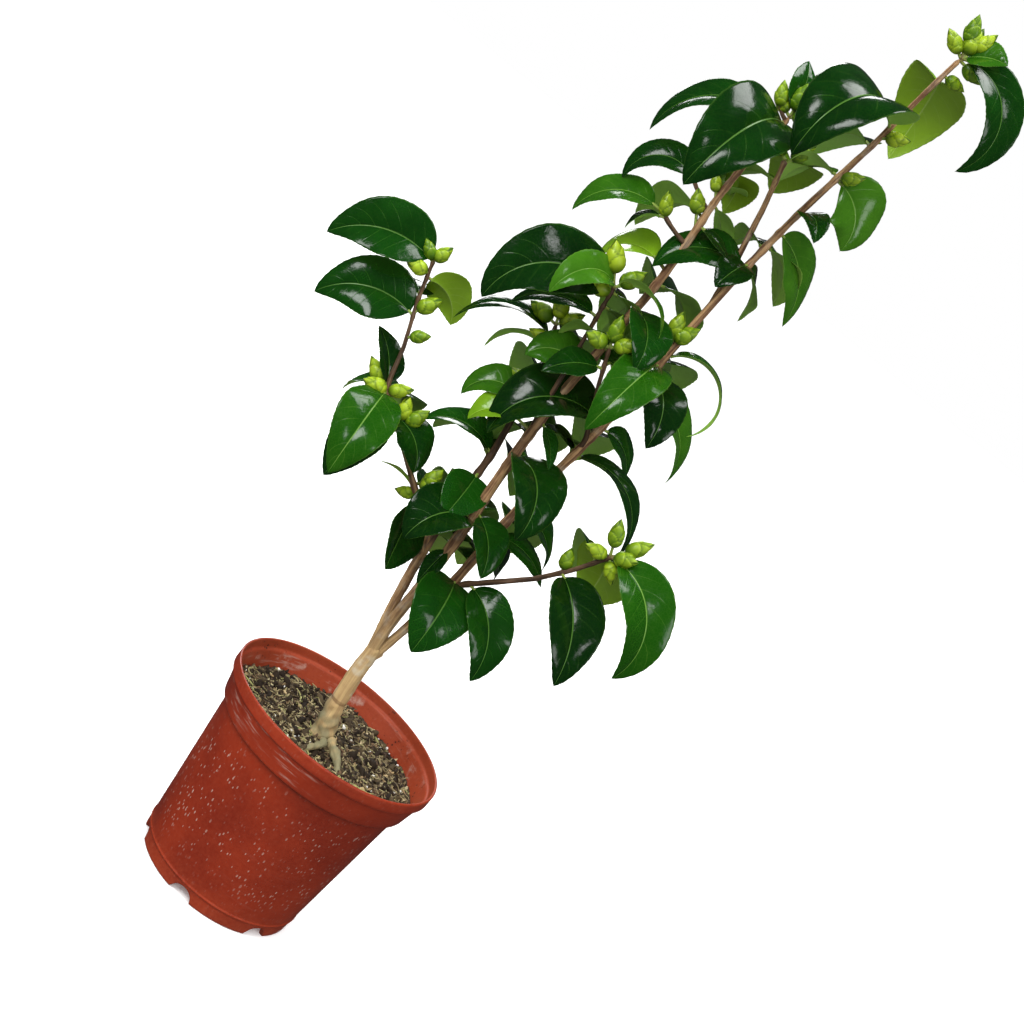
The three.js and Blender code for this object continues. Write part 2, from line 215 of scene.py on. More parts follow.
# %% A socket that can be reckoned with
class Wire:
    """One output socket in a material. Operators on it add Math nodes and give the new output."""

    def __init__(self, tree, socket=None):
        self.tree = tree
        self.socket = socket

    def node(self, kind, settings, inputs, output=0):
        """Add a node: settings first (stops fill a ramp), then each socket gets its value or link."""
        made = self.tree.nodes.new("ShaderNode" + kind)
        for name, value in settings.items():
            if name == "stops":
                ramp = made.color_ramp.elements
                while len(ramp) < len(value):
                    ramp.new(0.5)
                for element, (place, colour) in zip(ramp, value):
                    element.position = place
                    element.color = (*colour, 1)
            else:
                setattr(made, name, value)
        for name, value in inputs.items():
            if isinstance(value, Wire):
                self.tree.links.new(value.socket, made.inputs[name])
            else:
                made.inputs[name].default_value = value
        return Wire(self.tree, made.outputs[output])

    def maths(self, operation, first, second=0.0):
        """A Math node on two values or wires."""
        return self.node("Math", {"operation": operation}, {0: first, 1: second})

    def __add__(self, other):
        return self.maths("ADD", self, other)

    def __radd__(self, other):
        return self.maths("ADD", other, self)

    def __sub__(self, other):
        return self.maths("SUBTRACT", self, other)

    def __rsub__(self, other):
        return self.maths("SUBTRACT", other, self)

    def __mul__(self, other):
        return self.maths("MULTIPLY", self, other)

    def __rmul__(self, other):
        return self.maths("MULTIPLY", other, self)

    def __truediv__(self, other):
        return self.maths("DIVIDE", self, other)

    def __pow__(self, other):
        return self.maths("POWER", self, other)

    def __abs__(self):
        return self.maths("ABSOLUTE", self)

    def fract(self):
        """What is left after the whole number is taken off."""
        return self.maths("FRACT", self)

    def step(self, low, high):
        """0 below low, 1 above high, smooth between them."""
        ends = {"Value": self, "From Min": low, "From Max": high}
        return self.node("MapRange", {"interpolation_type": "SMOOTHSTEP"}, ends)

    def mix(self, first, second):
        """A colour between first and second, with this value as the share of second."""
        first, second = [(*c, 1) if isinstance(c, tuple) else c for c in (first, second)]
        return self.node("Mix", {"data_type": "RGBA"}, {0: self, 6: first, 7: second}, 2)

    def scaled(self, factors):
        """This vector times three factors."""
        return self.node("VectorMath", {"operation": "MULTIPLY"}, {0: self, 1: factors})

    def noise(self, scale, detail=3.0, roughness=0.55):
        """Cloudy noise from 0 to 1 at this point."""
        inputs = {"Vector": self, "Scale": scale, "Detail": detail, "Roughness": roughness}
        return self.node("TexNoise", {}, inputs)

    def cells(self, scale, output="Distance", feature="F1"):
        """Cells round scattered points: the distance to the nearest, or its own Color."""
        return self.node("TexVoronoi", {"feature": feature}, {"Vector": self, "Scale": scale}, output)

    def attribute(self, name, output="Fac"):
        """A value kept on the mesh under that name."""
        return self.node("Attribute", {"attribute_name": name}, {}, output)

    def place(self):
        """The point on the object, in metres."""
        return self.node("TexCoord", {}, {}, "Object")

    def parts(self):
        """The three numbers of a vector."""
        split = self.node("SeparateXYZ", {}, {"Vector": self})
        return [Wire(self.tree, socket) for socket in split.socket.node.outputs]

    def bump(self, height, strength, distance):
        """A normal tilted as if the surface stood out by height times distance in metres."""
        inputs = {"Height": height, "Strength": strength, "Distance": distance}
        return self.node("Bump", {}, inputs)


def new_finish(name):
    """A new material, a Wire to start its formulas from, and its shader."""
    material = bpy.data.materials.new(name)
    material.use_nodes = True
    tree = material.node_tree
    return material, Wire(tree), tree.nodes["Principled BSDF"]


def set_shader(shader, values):
    """Link what varies and set what doesn't on the shader's own sockets."""
    for name, value in values.items():
        if isinstance(value, Wire):
            value.tree.links.new(value.socket, shader.inputs[name])
        else:
            shader.inputs[name].default_value = value


print("shader maths ready")

# %% [markdown]
# ## The limbs' lines
# Stems are bent, and their bends are in the CAD model already. They could be typed in again, but then two
# files would have to agree. Cutting each CAD limb by planes across its longest side gives the middle and
# the area of every cut, so the line and the girth come from the frame itself.

# %% Cut the CAD limbs
LIMB_ROWS = 150            # rings on a limb
CUTS = 48                  # planes across one CAD limb
HEXAGON = 1.1              # a six-sided bar is this much slimmer than the round one it stands for
END_GAP = 2.5 * MM         # the first and last plane stay this far from a bar's ends
# Each limb: its parent, how young its wood is from 0 to 1, and how far back in the parent it starts, in mm.
PARENTS = {
    "trunk": (None, 0.0, 0),
    "root_right": ("trunk", 0.0, 6),
    "root_front": ("trunk", 0.0, 6),
    "stem_middle": ("trunk", 0.25, 16),
    "stem_left": ("trunk", 0.2, 14),
    "leader": ("trunk", 0.15, 16),
    "leader_fork": ("leader", 0.35, 10),
    "bough_left": ("stem_left", 0.55, 6),
    "bough_left_tip": ("bough_left", 0.9, 4),
    "bough_right": ("leader", 1.0, 8),
    "bough_inner_left": ("stem_middle", 0.9, 10),
    "bough_inner_front": ("leader", 0.9, 10),
}


def corners_of(node):
    """The triangles of a CAD node as one array of corners."""
    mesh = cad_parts[node].data
    mesh.calc_loop_triangles()
    points = np.empty(len(mesh.vertices) * 3, np.float32)
    mesh.vertices.foreach_get("co", points)
    index = np.empty(len(mesh.loop_triangles) * 3, np.int32)
    mesh.loop_triangles.foreach_get("vertices", index)
    return points.reshape(-1, 3).astype(float)[index].reshape(-1, 3, 3)


def cut_line(node):
    """Middle and radius of CUTS cross-sections, by planes across the node's longest side.

    A plane meets a triangle in a short line; the middle is the mean of those lines by length, and the
    radius is the root of (area times the lean) over pi.
    """
    start = corners_of(node)
    end = np.roll(start, -1, axis=1)
    size = np.ptp(start.reshape(-1, 3), axis=0)
    axis = int(size.argmax())
    low, high = start[..., axis].min(), start[..., axis].max()
    level = np.linspace(low + END_GAP, high - END_GAP, CUTS)[:, None, None]
    start_level, end_level = start[..., axis], end[..., axis]
    crossed = (start_level < level) != (end_level < level)
    rise = np.where(end_level == start_level, 1, end_level - start_level)
    share = np.where(crossed, (level - start_level) / rise, 0)[..., None]
    points = (start + share * (end - start)) * crossed[..., None]
    both = points.sum(2)
    apart = (points * np.sign(rise)[..., None]).sum(2)
    length = np.linalg.norm(apart, axis=-1)
    middle = (both / 2 * length[..., None]).sum(1) / length.sum(1)[:, None]
    spokes = np.where(length[..., None] > 0, both / 2 - middle[:, None], 0)
    area = np.linalg.norm(np.cross(spokes, apart), axis=-1).sum(1) / 2
    lean = np.abs(unit(np.gradient(middle, axis=0))[:, axis])
    return middle, np.sqrt(area * lean / np.pi) * HEXAGON


def spread_evenly(path, count, *also):
    """The path, and anything that goes with it, at count places spaced evenly along its length."""
    steps = np.linalg.norm(np.diff(path, axis=0), axis=1)
    length = np.concatenate([[0], np.cumsum(steps)])
    wanted = np.linspace(0, length[-1], count)
    even = np.stack([np.interp(wanted, length, path[:, i]) for i in range(3)], -1)
    return [even, *[np.interp(wanted, length, values) for values in also]]


def softened(values, times=14):
    """Each value drawn towards the mean of its neighbours, the ends held."""
    values = values.copy()
    for _ in range(times):
        values[1:-1] = (values[:-2] + 2 * values[1:-1] + values[2:]) / 4
    return values


limbs = {}
for limb_name, (parent, youth, reach_back) in PARENTS.items():
    middle, girth = cut_line(limb_name)
    if parent:
        parent_path = limbs[parent][0]
        gaps = [np.linalg.norm(parent_path - middle[end], axis=1).min() for end in (0, -1)]
        if gaps[1] < gaps[0]:
            middle, girth = middle[::-1], girth[::-1]
        nearest = np.linalg.norm(parent_path - middle[0], axis=1).argmin()
        back = np.linalg.norm(parent_path - parent_path[nearest], axis=1)
        back[nearest + 1:] = 1
        root_point = parent_path[np.abs(back - reach_back * MM).argmin()]
        tip_point = middle[-1] + unit(middle[-1] - middle[-4]) * END_GAP
        middle = np.vstack([root_point, middle[2:], tip_point])
        girth = np.concatenate([girth[2:3], girth[2:], girth[-2:-1]])
    even_path, even_girth = spread_evenly(middle, LIMB_ROWS, girth)
    limbs[limb_name] = (softened(even_path), softened(even_girth, 30), youth)
print("limbs:", {name: f"{path[0][2]:.3f} to {path[-1][2]:.3f}" for name, (path, _, _) in limbs.items()})

# %% [markdown]
# ## Wood
# The wood is a tan, fibrous bark on the trunk and smooth, dark brown on young shoots. A curve with a bevel
# would give a perfect pipe. Rings set round the line let the girth swell at every node, spread into a
# collar at each fork, and carry fine ridges that run the way the fibres do.

# %% Tubes along lines
WOOD_COLUMNS = 28


def tube(paths, radii, columns):
    """Rings round many lines at once: line + radius * (cos of the turn * side + sin of the turn * up).

    The side is square to the line and to whichever axis the line keeps furthest from.
    """
    ways = unit(np.gradient(paths, axis=1))
    hinge = np.eye(3)[np.abs(ways).max(1).argmin(-1)][:, None]
    side = unit(np.cross(hinge, ways))[:, :, None]
    up = np.cross(ways, side[:, :, 0])[:, :, None]
    turn = (np.arange(columns) / columns * FULL_TURN)[:, None]
    return paths[:, :, None] + radii[..., None, None] * (np.cos(turn) * side + np.sin(turn) * up)


def on_limb(name, height):
    """The point of a limb's line at a height in metres."""
    path = limbs[name][0]
    return np.array([np.interp(height, path[:, 2], path[:, axis]) for axis in range(3)])


def heading(degrees, rise=0.0):
    """A unit direction: round the plant from +X, and up from level, both in degrees."""
    turn, lift = np.radians(degrees), np.radians(rise)
    level = np.cos(lift)
    return np.stack([level * np.cos(turn), level * np.sin(turn), np.sin(lift) + 0 * turn], -1)


# Short shoots: limb, height in mm, heading, rise, length in mm, foot and tip radius in mm, youth.
SHOOTS = {
    "shoot_leader": ("leader", 530, 215, 74, 34, 1.5, 1.1, 1.0),
    "shoot_upper_left": ("stem_middle", 626, 182, 12, 34, 1.6, 1.2, 0.9),
    "shoot_upper_far": ("stem_middle", 655, 176, 20, 27, 1.5, 1.1, 1.0),
    "shoot_crown_left": ("stem_middle", 738, 190, 22, 13, 1.5, 1.1, 0.9),
    "shoot_inner_left": ("bough_inner_left", 566, 190, -12, 17, 1.3, 1.0, 1.0),
    "stub_left": ("stem_left", 318, 195, 62, 15, 3.0, 2.7, 0.05),
    "stub_trunk": ("trunk", 222, 20, 55, 14, 2.6, 2.2, 0.1),
}
for name, (limb_name, height, turn, rise, length, foot, tip, youth) in SHOOTS.items():
    share = np.linspace(0, 1, LIMB_ROWS)[:, None]
    rising = heading(turn, rise + 12 * (share[:, 0] - 0.5))
    path = on_limb(limb_name, height * MM) + length * MM * share * rising
    limbs[name] = (path, np.linspace(foot, tip, LIMB_ROWS) * MM, youth)
print("limbs and shoots:", len(limbs))

# %% [markdown]
# ## Where the leaves grow
# A camellia carries its leaves one by one round a shoot, each on a short stalk. Scattering them evenly
# would close the gaps that give this shrub its open look. So the leaves that shape it are set by a
# gardener's notes, one row to a leaf, and a seeded rule adds small ones on the far side and varies all.

# %% Leaf notes
# Mass: limb, then rows of height in mm, heading, rise at the foot and at the tip, stalk, length, width,
# roll about the leaf's own length, and colour (0 deep, 1 fresh, 2 pale).
SPRAYS = {
    "foliage_left_top": ("bough_left_tip", [
        (498, 185, 12, -62, 4, 84, 48, -60, 0),
        (457, 185, 12, -68, 4, 78, 50, -60, 0),
        (486, 35, 8, -70, 4, 46, 36, -60, 2),
        (470, 120, 20, -60, 6, 66, 40, 0, 0),
    ]),
    "foliage_left_hub": ("bough_left", [
        (401, -85, -8, -97, 5, 86, 46, 5, 1),
        (390, -115, -45, -92, 6, 66, 44, 0, 0),
        (390, -10, 5, -75, 6, 46, 36, 30, 0),
        (402, 160, -10, -75, 5, 34, 34, -20, 1),
        (402, 155, 62, 15, 5, 46, 24, -20, 0),
        (400, 80, 15, -70, 6, 78, 42, 0, 0),
        (384, 100, 10, -60, 6, 68, 40, 0, 0),
    ]),
    "foliage_left_low": ("bough_left", [
        (347, -70, -55, -32, 5, 60, 42, -30, 0),
        (352, 172, 20, -25, 5, 32, 14, 20, 2),
        (356, 60, 10, -60, 6, 66, 38, 0, 0),
    ]),
    "foliage_low_left": ("stem_left", [
        (408, 182, 32, -60, 5, 62, 30, -20, 0),
        (392, -85, -25, -60, 6, 50, 36, 0, 0),
        (405, 140, 20, -60, 8, 68, 40, 0, 0),
        (368, 110, 0, -75, 8, 64, 40, 0, 0),
        (378, 60, -10, -70, 8, 58, 36, 0, 0),
    ]),
    "foliage_low_middle": ("stem_middle", [
        (364, -130, 12, -95, 5, 62, 48, -10, 0),
        (372, -30, -10, -75, 6, 50, 34, 20, 0),
        (338, -110, -60, -90, 5, 34, 16, 0, 0),
    ]),
    "foliage_low_front": ("leader", [
        (316, -80, -5, -95, 4, 74, 52, 0, 0),
        (360, 40, -20, -80, 5, 38, 28, 50, 0),
        (364, 10, 18, -50, 5, 54, 22, 30, 0),
        (390, 15, 8, -80, 6, 54, 30, 20, 0),
        (340, 100, 10, -70, 8, 74, 44, 0, 0),
        (376, 75, 10, -70, 8, 76, 44, 0, 0),
    ]),
    "foliage_right_low": ("bough_right", [
        (322, -32, 2, -90, 6, 80, 38, 36, 0),
    ]),
    "foliage_right": ("bough_right", [
        (378, -45, -8, -78, 5, 90, 46, 25, 0),
        (410, 78, -20, -95, 6, 62, 54, 0, 2),
        (413, -22, 8, -112, 8, 104, 44, 38, 1),
        (400, 95, 15, -75, 6, 78, 42, 0, 0),
    ]),
    "foliage_middle": ("stem_middle", [
        (424, -45, 22, -98, 5, 82, 50, 12, 0),
        (442, 120, 5, -85, 6, 56, 42, -20, 0),
        (446, 185, 8, -85, 14, 42, 32, -30, 2),
        (458, -20, -20, -60, 6, 34, 16, 20, 0),
        (415, 80, 10, -70, 8, 78, 44, 0, 0),
    ]),
    "foliage_middle_left": ("stem_left", [
        (508, 188, 25, -80, 5, 82, 26, -10, 0),
        (500, 172, 8, -88, 5, 52, 20, 10, 0),
        (456, 180, 20, -90, 5, 52, 30, -40, 1),
        (480, 100, 10, -70, 8, 82, 44, 0, 0),
        (515, 60, 15, -60, 8, 68, 40, 0, 0),
    ]),
    "foliage_middle_front": ("leader", [
        (482, -160, 15, -100, 8, 98, 56, -25, 0),
        (480, 25, 5, -70, 6, 48, 24, 40, 0),
        (449, -8, 35, -95, 5, 102, 26, 15, 0),
        (470, 90, 10, -75, 8, 82, 46, 0, 0),
    ]),
    "foliage_middle_right": ("leader", [
        (543, -96, 8, -98, 4, 98, 40, 0, 1),
        (534, -50, 8, -90, 5, 66, 38, 20, 0),
        (520, 20, 10, -90, 10, 84, 36, 35, 1),
        (552, 5, 48, -128, 4, 96, 24, 0, 1),
        (545, 80, 15, -70, 8, 82, 44, 0, 0),
    ]),
    "foliage_inner_front": ("bough_inner_front", [
        (520, -150, -10, -60, 5, 44, 30, -20, 0),
        (532, 150, 20, -70, 5, 48, 32, 0, 0),
    ]),
    "foliage_inner_left": ("bough_inner_left", [
        (563, 198, 15, -95, 6, 104, 54, -50, 0),
        (572, -130, 30, -95, 4, 66, 28, -30, 1),
        (574, -20, 50, -70, 4, 60, 24, -10, 1),
        (566, 40, 5, -80, 5, 50, 34, 0, 0),
        (545, 185, 5, -60, 5, 64, 26, -30, 0),
    ]),
    "foliage_upper_middle": ("stem_middle", [
        (602, 165, 10, -85, 14, 50, 40, -30, 2),
        (566, -50, 8, -90, 5, 54, 40, 10, 0),
        (505, -165, 25, -70, 5, 46, 36, -40, 1),
        (560, 100, 10, -70, 8, 82, 46, 0, 0),
        (590, 50, 10, -70, 8, 68, 42, 0, 0),
    ]),
    "foliage_upper_left": ("stem_middle", [
        (642, -10, 5, -30, 5, 28, 16, 20, 0),
        (688, 75, -5, -85, 5, 46, 30, 0, 2),
        (660, 50, -10, -80, 6, 42, 26, 0, 0),
        (648, 135, 5, -85, 8, 66, 40, 0, 1),
    ]),
    "foliage_upper_right": ("leader", [
        (636, -170, 12, -85, 4, 72, 38, -35, 0),
        (642, -110, -15, -80, 4, 34, 28, 0, 0),
        (640, 45, -15, -95, 5, 46, 34, 30, 0),
        (674, 26, -8, -88, 4, 76, 42, 52, 1),
        (692, -60, 35, -60, 3, 44, 22, 30, 0),
        (660, 50, 5, -80, 6, 60, 40, 0, 1),
    ]),
    "foliage_fork": ("leader_fork", [
        (714, 80, 25, -100, 5, 52, 46, 0, 2),
        (700, 150, 0, -80, 5, 50, 34, 0, 1),
    ]),
    "foliage_left_crown": ("stem_middle", [
        (735, -108, 4, -98, 4, 114, 60, -14, 0),
        (730, 178, 5, -96, 14, 92, 34, -34, 0),
        (746, 125, 78, 35, 4, 42, 30, 0, 0),
        (730, 95, 10, -70, 8, 82, 46, 0, 0),
    ]),
    "foliage_right_crown": ("leader", [
        (778, -121, 35, -114, 6, 124, 66, 0, 0),
        (728, 12, -4, -95, 6, 54, 52, 58, 1),
        (730, 150, 5, -90, 5, 46, 36, 0, 1),
        (760, 120, 10, -70, 8, 78, 46, 0, 0),
    ]),
    "foliage_top": ("leader", [
        (824, 84, 8, -100, 4, 100, 52, 0, 2),
        (848, -12, 14, -128, 6, 98, 32, 52, 0),
        (846, -30, 42, 5, 4, 32, 26, 62, 1),
    ]),
}
# The same for leaves that sit on a shoot: shoot, mass and row.
SHOOT_LEAVES = [
    ("shoot_upper_left", "foliage_upper_left", (633, 180, 4, -88, 11, 66, 32, -35, 1)),
    ("shoot_upper_left", "foliage_upper_left", (632, 196, -20, -90, 5, 28, 14, 0, 0)),
    ("shoot_upper_far", "foliage_upper_left", (664, 175, 24, -104, 6, 62, 28, -48, 0)),
]
rows = [(mass, limb_name, *row) for mass, (limb_name, notes) in SPRAYS.items() for row in notes]
rows = rows + [(mass, shoot, *row) for shoot, mass, row in SHOOT_LEAVES]
print("leaves in the notes:", len(rows), "in", len(SPRAYS), "sprays")

# %% Far leaves by rule
FAR_SEED = 11
# Extra leaves on the far side; the crown's outer sprays stay as open as they are.
FAR_LEAVES = {
    "foliage_low_left": 1, "foliage_low_middle": 3, "foliage_low_front": 1, "foliage_middle": 2,
    "foliage_middle_left": 1, "foliage_middle_front": 2, "foliage_middle_right": 2, "foliage_inner_front": 1,
    "foliage_inner_left": 1, "foliage_upper_middle": 2, "foliage_upper_left": 1, "foliage_upper_right": 1,
}
draw = np.random.default_rng(FAR_SEED)
for mass, number in FAR_LEAVES.items():
    limb_name, notes = SPRAYS[mass]
    heights = [note[0] for note in notes]
    for _ in range(number):
        height = draw.uniform(min(heights), max(heights))
        length = draw.uniform(44, 66)
        turn = draw.uniform(50, 135)
        rise, fall = draw.uniform(0, 30), draw.uniform(-80, -50)
        roll = draw.uniform(-20, 20)
        shade = draw.integers(0, 2)
        rows.append((mass, limb_name, height, turn, rise, fall, 6, length, length * 0.56, roll, shade))
masses = np.array([row[0] for row in rows])
notes = np.array([row[2:] for row in rows], float)
feet = np.array([on_limb(row[1], row[2] * MM) for row in rows])
colour = notes[:, 8].astype(int)
print("leaves with those of the rule:", len(rows))

# %% [markdown]
# ## Leaves
# The blade is thick and stiff, folded along its midrib, arched, and finely toothed. A flat card with a
# picture on it looks right only from the front. A closed skin with a real edge, sunken veins and a raised
# midrib below catches the light as the leaf does, from every side.

# %% Leaf skins
LEAF_ROWS = 48
HALF_ACROSS = np.array([1, 0.93, 0.78, 0.56, 0.32, 0.13, 0.035])    # places from the edge to the midrib
SIDE_VEINS, VEIN_SLANT = 8, 1.7
TEETH, TOOTH_HEIGHT = 17, 0.55 * MM
QUILT_HEIGHT = 0.16 * MM   # how far the blade swells between its veins
KEEL_HEIGHT, KEEL_WIDTH = 0.7 * MM, 0.8 * MM
LEAF_SEED = 5


def blade_lines(foot, notes, sway):
    """Midrib points and the two directions across each blade.

    The rise turns evenly from foot to tip, so the midrib is the running sum of
    cos(rise) * outward + sin(rise) * up; the roll then turns the blade about it.
    """
    turn, rise, fall = notes[:, 1:2], notes[:, 2:3], notes[:, 3:4]
    stalk, length, roll = notes[:, 4:5] * MM, notes[:, 5:6] * MM, np.radians(notes[:, 7:8])
    share = np.linspace(0, 1, LEAF_ROWS)[None]
    lift = np.radians(rise + (fall - rise) * share)
    level = heading(turn)
    up = np.array([0, 0, 1.0])
    along = np.cos(lift)[..., None] * level + np.sin(lift)[..., None] * up
    above = -np.sin(lift)[..., None] * level + np.cos(lift)[..., None] * up
    beside = np.stack([-level[..., 1], level[..., 0], 0 * level[..., 0]], -1)
    step = (along[:, 1:] + along[:, :-1]) / 2 * (length / (LEAF_ROWS - 1))[..., None]
    run = np.concatenate([np.zeros((len(foot), 1, 3)), np.cumsum(step, axis=1)], 1)
    middle = foot[:, None] + stalk[..., None] * along[:, :1] + run
    side = beside * np.cos(roll)[..., None] + above * np.sin(roll)[..., None]
    face = above * np.cos(roll)[..., None] - beside * np.sin(roll)[..., None]
    middle = middle + side * (sway * length * share ** 2)[..., None]
    return middle, along, side, face


def leaf_skins(foot, notes, seed):
    """Rings of every leaf, with across, along and below for each point.

    Half the width is sin(pi * t ** 0.8) ** 0.75 * (1 - t / 4) * 1.12 times half the leaf's width, plus teeth
    at the edge. Across the blade the height is fold * |s| - curl * s * s * (0.4 + t), with a wave along
    the edge, a swelling between the veins and a keel under the midrib; t runs from foot to tip, s across.
    """
    draw = np.random.default_rng(seed)
    count = len(foot)
    middle, along, side, face = blade_lines(foot, notes, draw.normal(0, 0.03, (count, 1)))
    fold, curl = draw.uniform(0.3, 0.55, (count, 1, 1)), draw.uniform(0.15, 0.36, (count, 1, 1))
    wave, phase = draw.uniform(0.02, 0.07, (count, 1, 1)), draw.uniform(0, FULL_TURN, (count, 1, 1))
    t = np.linspace(0, 1, LEAF_ROWS)[None, :, None]
    upper = np.concatenate([HALF_ACROSS, [0], -HALF_ACROSS[::-1]])
    s = np.concatenate([upper, upper[::-1]])[None, None]
    out = np.abs(s)
    below = np.concatenate([0 * upper, 0 * upper + 1])[None, None]
    half = notes[:, 6][:, None, None] * MM / 2
    outline = np.sin(np.pi * t ** 0.8) ** 0.75 * (1 - 0.25 * t) * 1.12
    width = np.maximum(half * outline, 0.9 * MM * (1 - t) + 0.12 * MM)
    tooth = (t * TEETH) % 1
    edge = smooth_step(out, 0.8, 1) * TOOTH_HEIGHT * (tooth - 0.4) * smooth_step(t, 0.06, 0.2) * (t < 0.97)
    vein = np.cos(FULL_TURN * (t * SIDE_VEINS - VEIN_SLANT * out ** 1.15 + 0.5 * (s > 0)))
    quilt = QUILT_HEIGHT * vein * smooth_step(out, 0.05, 0.3) * (1 - smooth_step(out, 0.7, 1))
    ruffle = wave * np.sin(FULL_TURN * 2 * t + phase) * s * out
    rise = width * (fold * out - curl * s * s * (0.4 + t) + ruffle) + quilt * (outline > 0.3)
    rib = np.exp(-(s * width / KEEL_WIDTH) ** 2)
    thick = MM * (0.34 - 0.2 * out + 1.6 * np.exp(-t / 0.035) * (1 - out))
    keel = KEEL_HEIGHT * rib * (1 - 0.75 * t)
    rise = rise + np.where(below > 0.5, -thick / 2 - keel, thick / 2 - 0.3 * keel)
    points = middle[:, :, None] + side[:, :, None] * (width * s + np.sign(s) * edge)[..., None]
    points = points + face[:, :, None] * rise[..., None]
    extras = [np.broadcast_to(a, points.shape[:3])[..., None] for a in (s, t, below)]
    rings = np.concatenate([points, *extras], -1)
    foot_ends = np.concatenate([middle[:, 0] - along[:, 0] * 0.6 * MM, np.tile([0, 0, 0.5], (count, 1))], -1)
    tip_ends = np.concatenate([middle[:, -1] + along[:, -1] * 0.8 * MM, np.tile([0, 1, 0.5], (count, 1))], -1)
    return with_ends(rings, foot_ends, tip_ends), middle, along


skins, midribs, leaf_ways = leaf_skins(feet, notes, LEAF_SEED)
leaf_size = len(skins) // len(rows)
print("leaf grid:", skins.shape, "points with across, along and below")

# %% [markdown]
# ## Buds
# The flower buds are fat, pointed and wrapped in overlapping scales. An egg shape alone would look like a
# fruit. Here each scale is a rounded tongue on the egg, the outer ones short and the inner ones long, and
# the outermost scale at a point sets how far the surface stands out, so that every edge is a true step.

# %% Bud notes
# Limb: rows of height in mm, heading, rise, reach from the limb's line to the bud's foot, and length.
BUDS = {
    "leader": [
        (846, 180, 72, 11, 21), (846, 180, 27, 4, 19), (846, 200, 88, 4, 21), (846, 0, 70, 10, 19),
        (845, 0, -10, 5, 19), (830, 0, 0, 3, 17), (770, 0, 30, 4, 18), (728, 0, 40, 4, 18),
    ],
    "leader_fork": [(714, 0, 66, 6, 20), (716, 180, 30, 4, 17)],
    "stem_middle": [
        (744, 180, 80, 5, 21), (742, 180, 20, 4, 17), (742, 0, 30, 2, 17), (638, 180, 55, 12, 19),
        (664, 180, 50, 6, 15),
    ],
    "shoot_crown_left": [(743, 182, 62, 0, 19)],
    "shoot_upper_left": [(633, 178, 62, -1, 19)],
    "bough_inner_left": [(570, 180, 55, 11, 25), (570, 0, 62, 5, 22)],
    "shoot_inner_left": [(563, 186, -14, 1, 22)],
    "shoot_leader": [(560, 180, 30, 2, 20), (562, 180, 80, 5, 21), (562, 0, 60, 5, 21)],
    "bough_inner_front": [(536, 180, 74, 4, 22), (536, 190, 0, 4, 20), (536, 0, 42, 4, 20)],
    "stem_left": [
        (508, 180, -8, 2, 17), (520, 180, 2, 5, 22), (520, 190, 68, 5, 22), (520, 0, 55, 3, 20),
        (470, 180, 10, 3, 18),
    ],
    "bough_left_tip": [
        (499, 0, 70, 1, 17), (499, 180, 35, 1, 17), (490, 195, -5, 2, 19), (460, 0, 62, 3, 21),
        (442, 0, 40, 3, 17),
    ],
    "bough_left": [
        (401, 180, 25, 7, 23), (401, 215, 0, 1, 21), (401, 0, 40, 2, 20), (384, 180, 75, 6, 20),
        (383, 0, 68, 7, 22), (350, 90, 86, 6, 18), (351, 0, 78, 9, 20), (350, 180, -22, 2, 16),
    ],
    "bough_right": [
        (412, 180, 67, 9, 23), (411, 195, 0, 3, 20), (413, 0, 54, 11, 23), (413, -20, 30, 3, 20),
        (412, 0, -45, 3, 18), (378, 150, 72, 3, 18),
    ],
}
BUD_ROWS, BUD_COLUMNS = 34, 30
BUD_BELLY = 0.4            # share of the length at which a bud is fattest
SCALES = 9
GOLDEN_TURN = np.radians(137.5)
BUD_SEED = 23

draw = np.random.default_rng(BUD_SEED)
bud_rows = np.array([row for bud_notes in BUDS.values() for row in bud_notes], float)
bud_limbs = [limb_name for limb_name, bud_notes in BUDS.items() for _ in bud_notes]
bud_starts = np.array([on_limb(name, row[0] * MM) for name, row in zip(bud_limbs, bud_rows)])
bud_ways = heading(bud_rows[:, 1] + draw.uniform(-25, 25, len(bud_rows)), bud_rows[:, 2])
bud_feet = bud_starts + bud_ways * bud_rows[:, 3:4] * MM


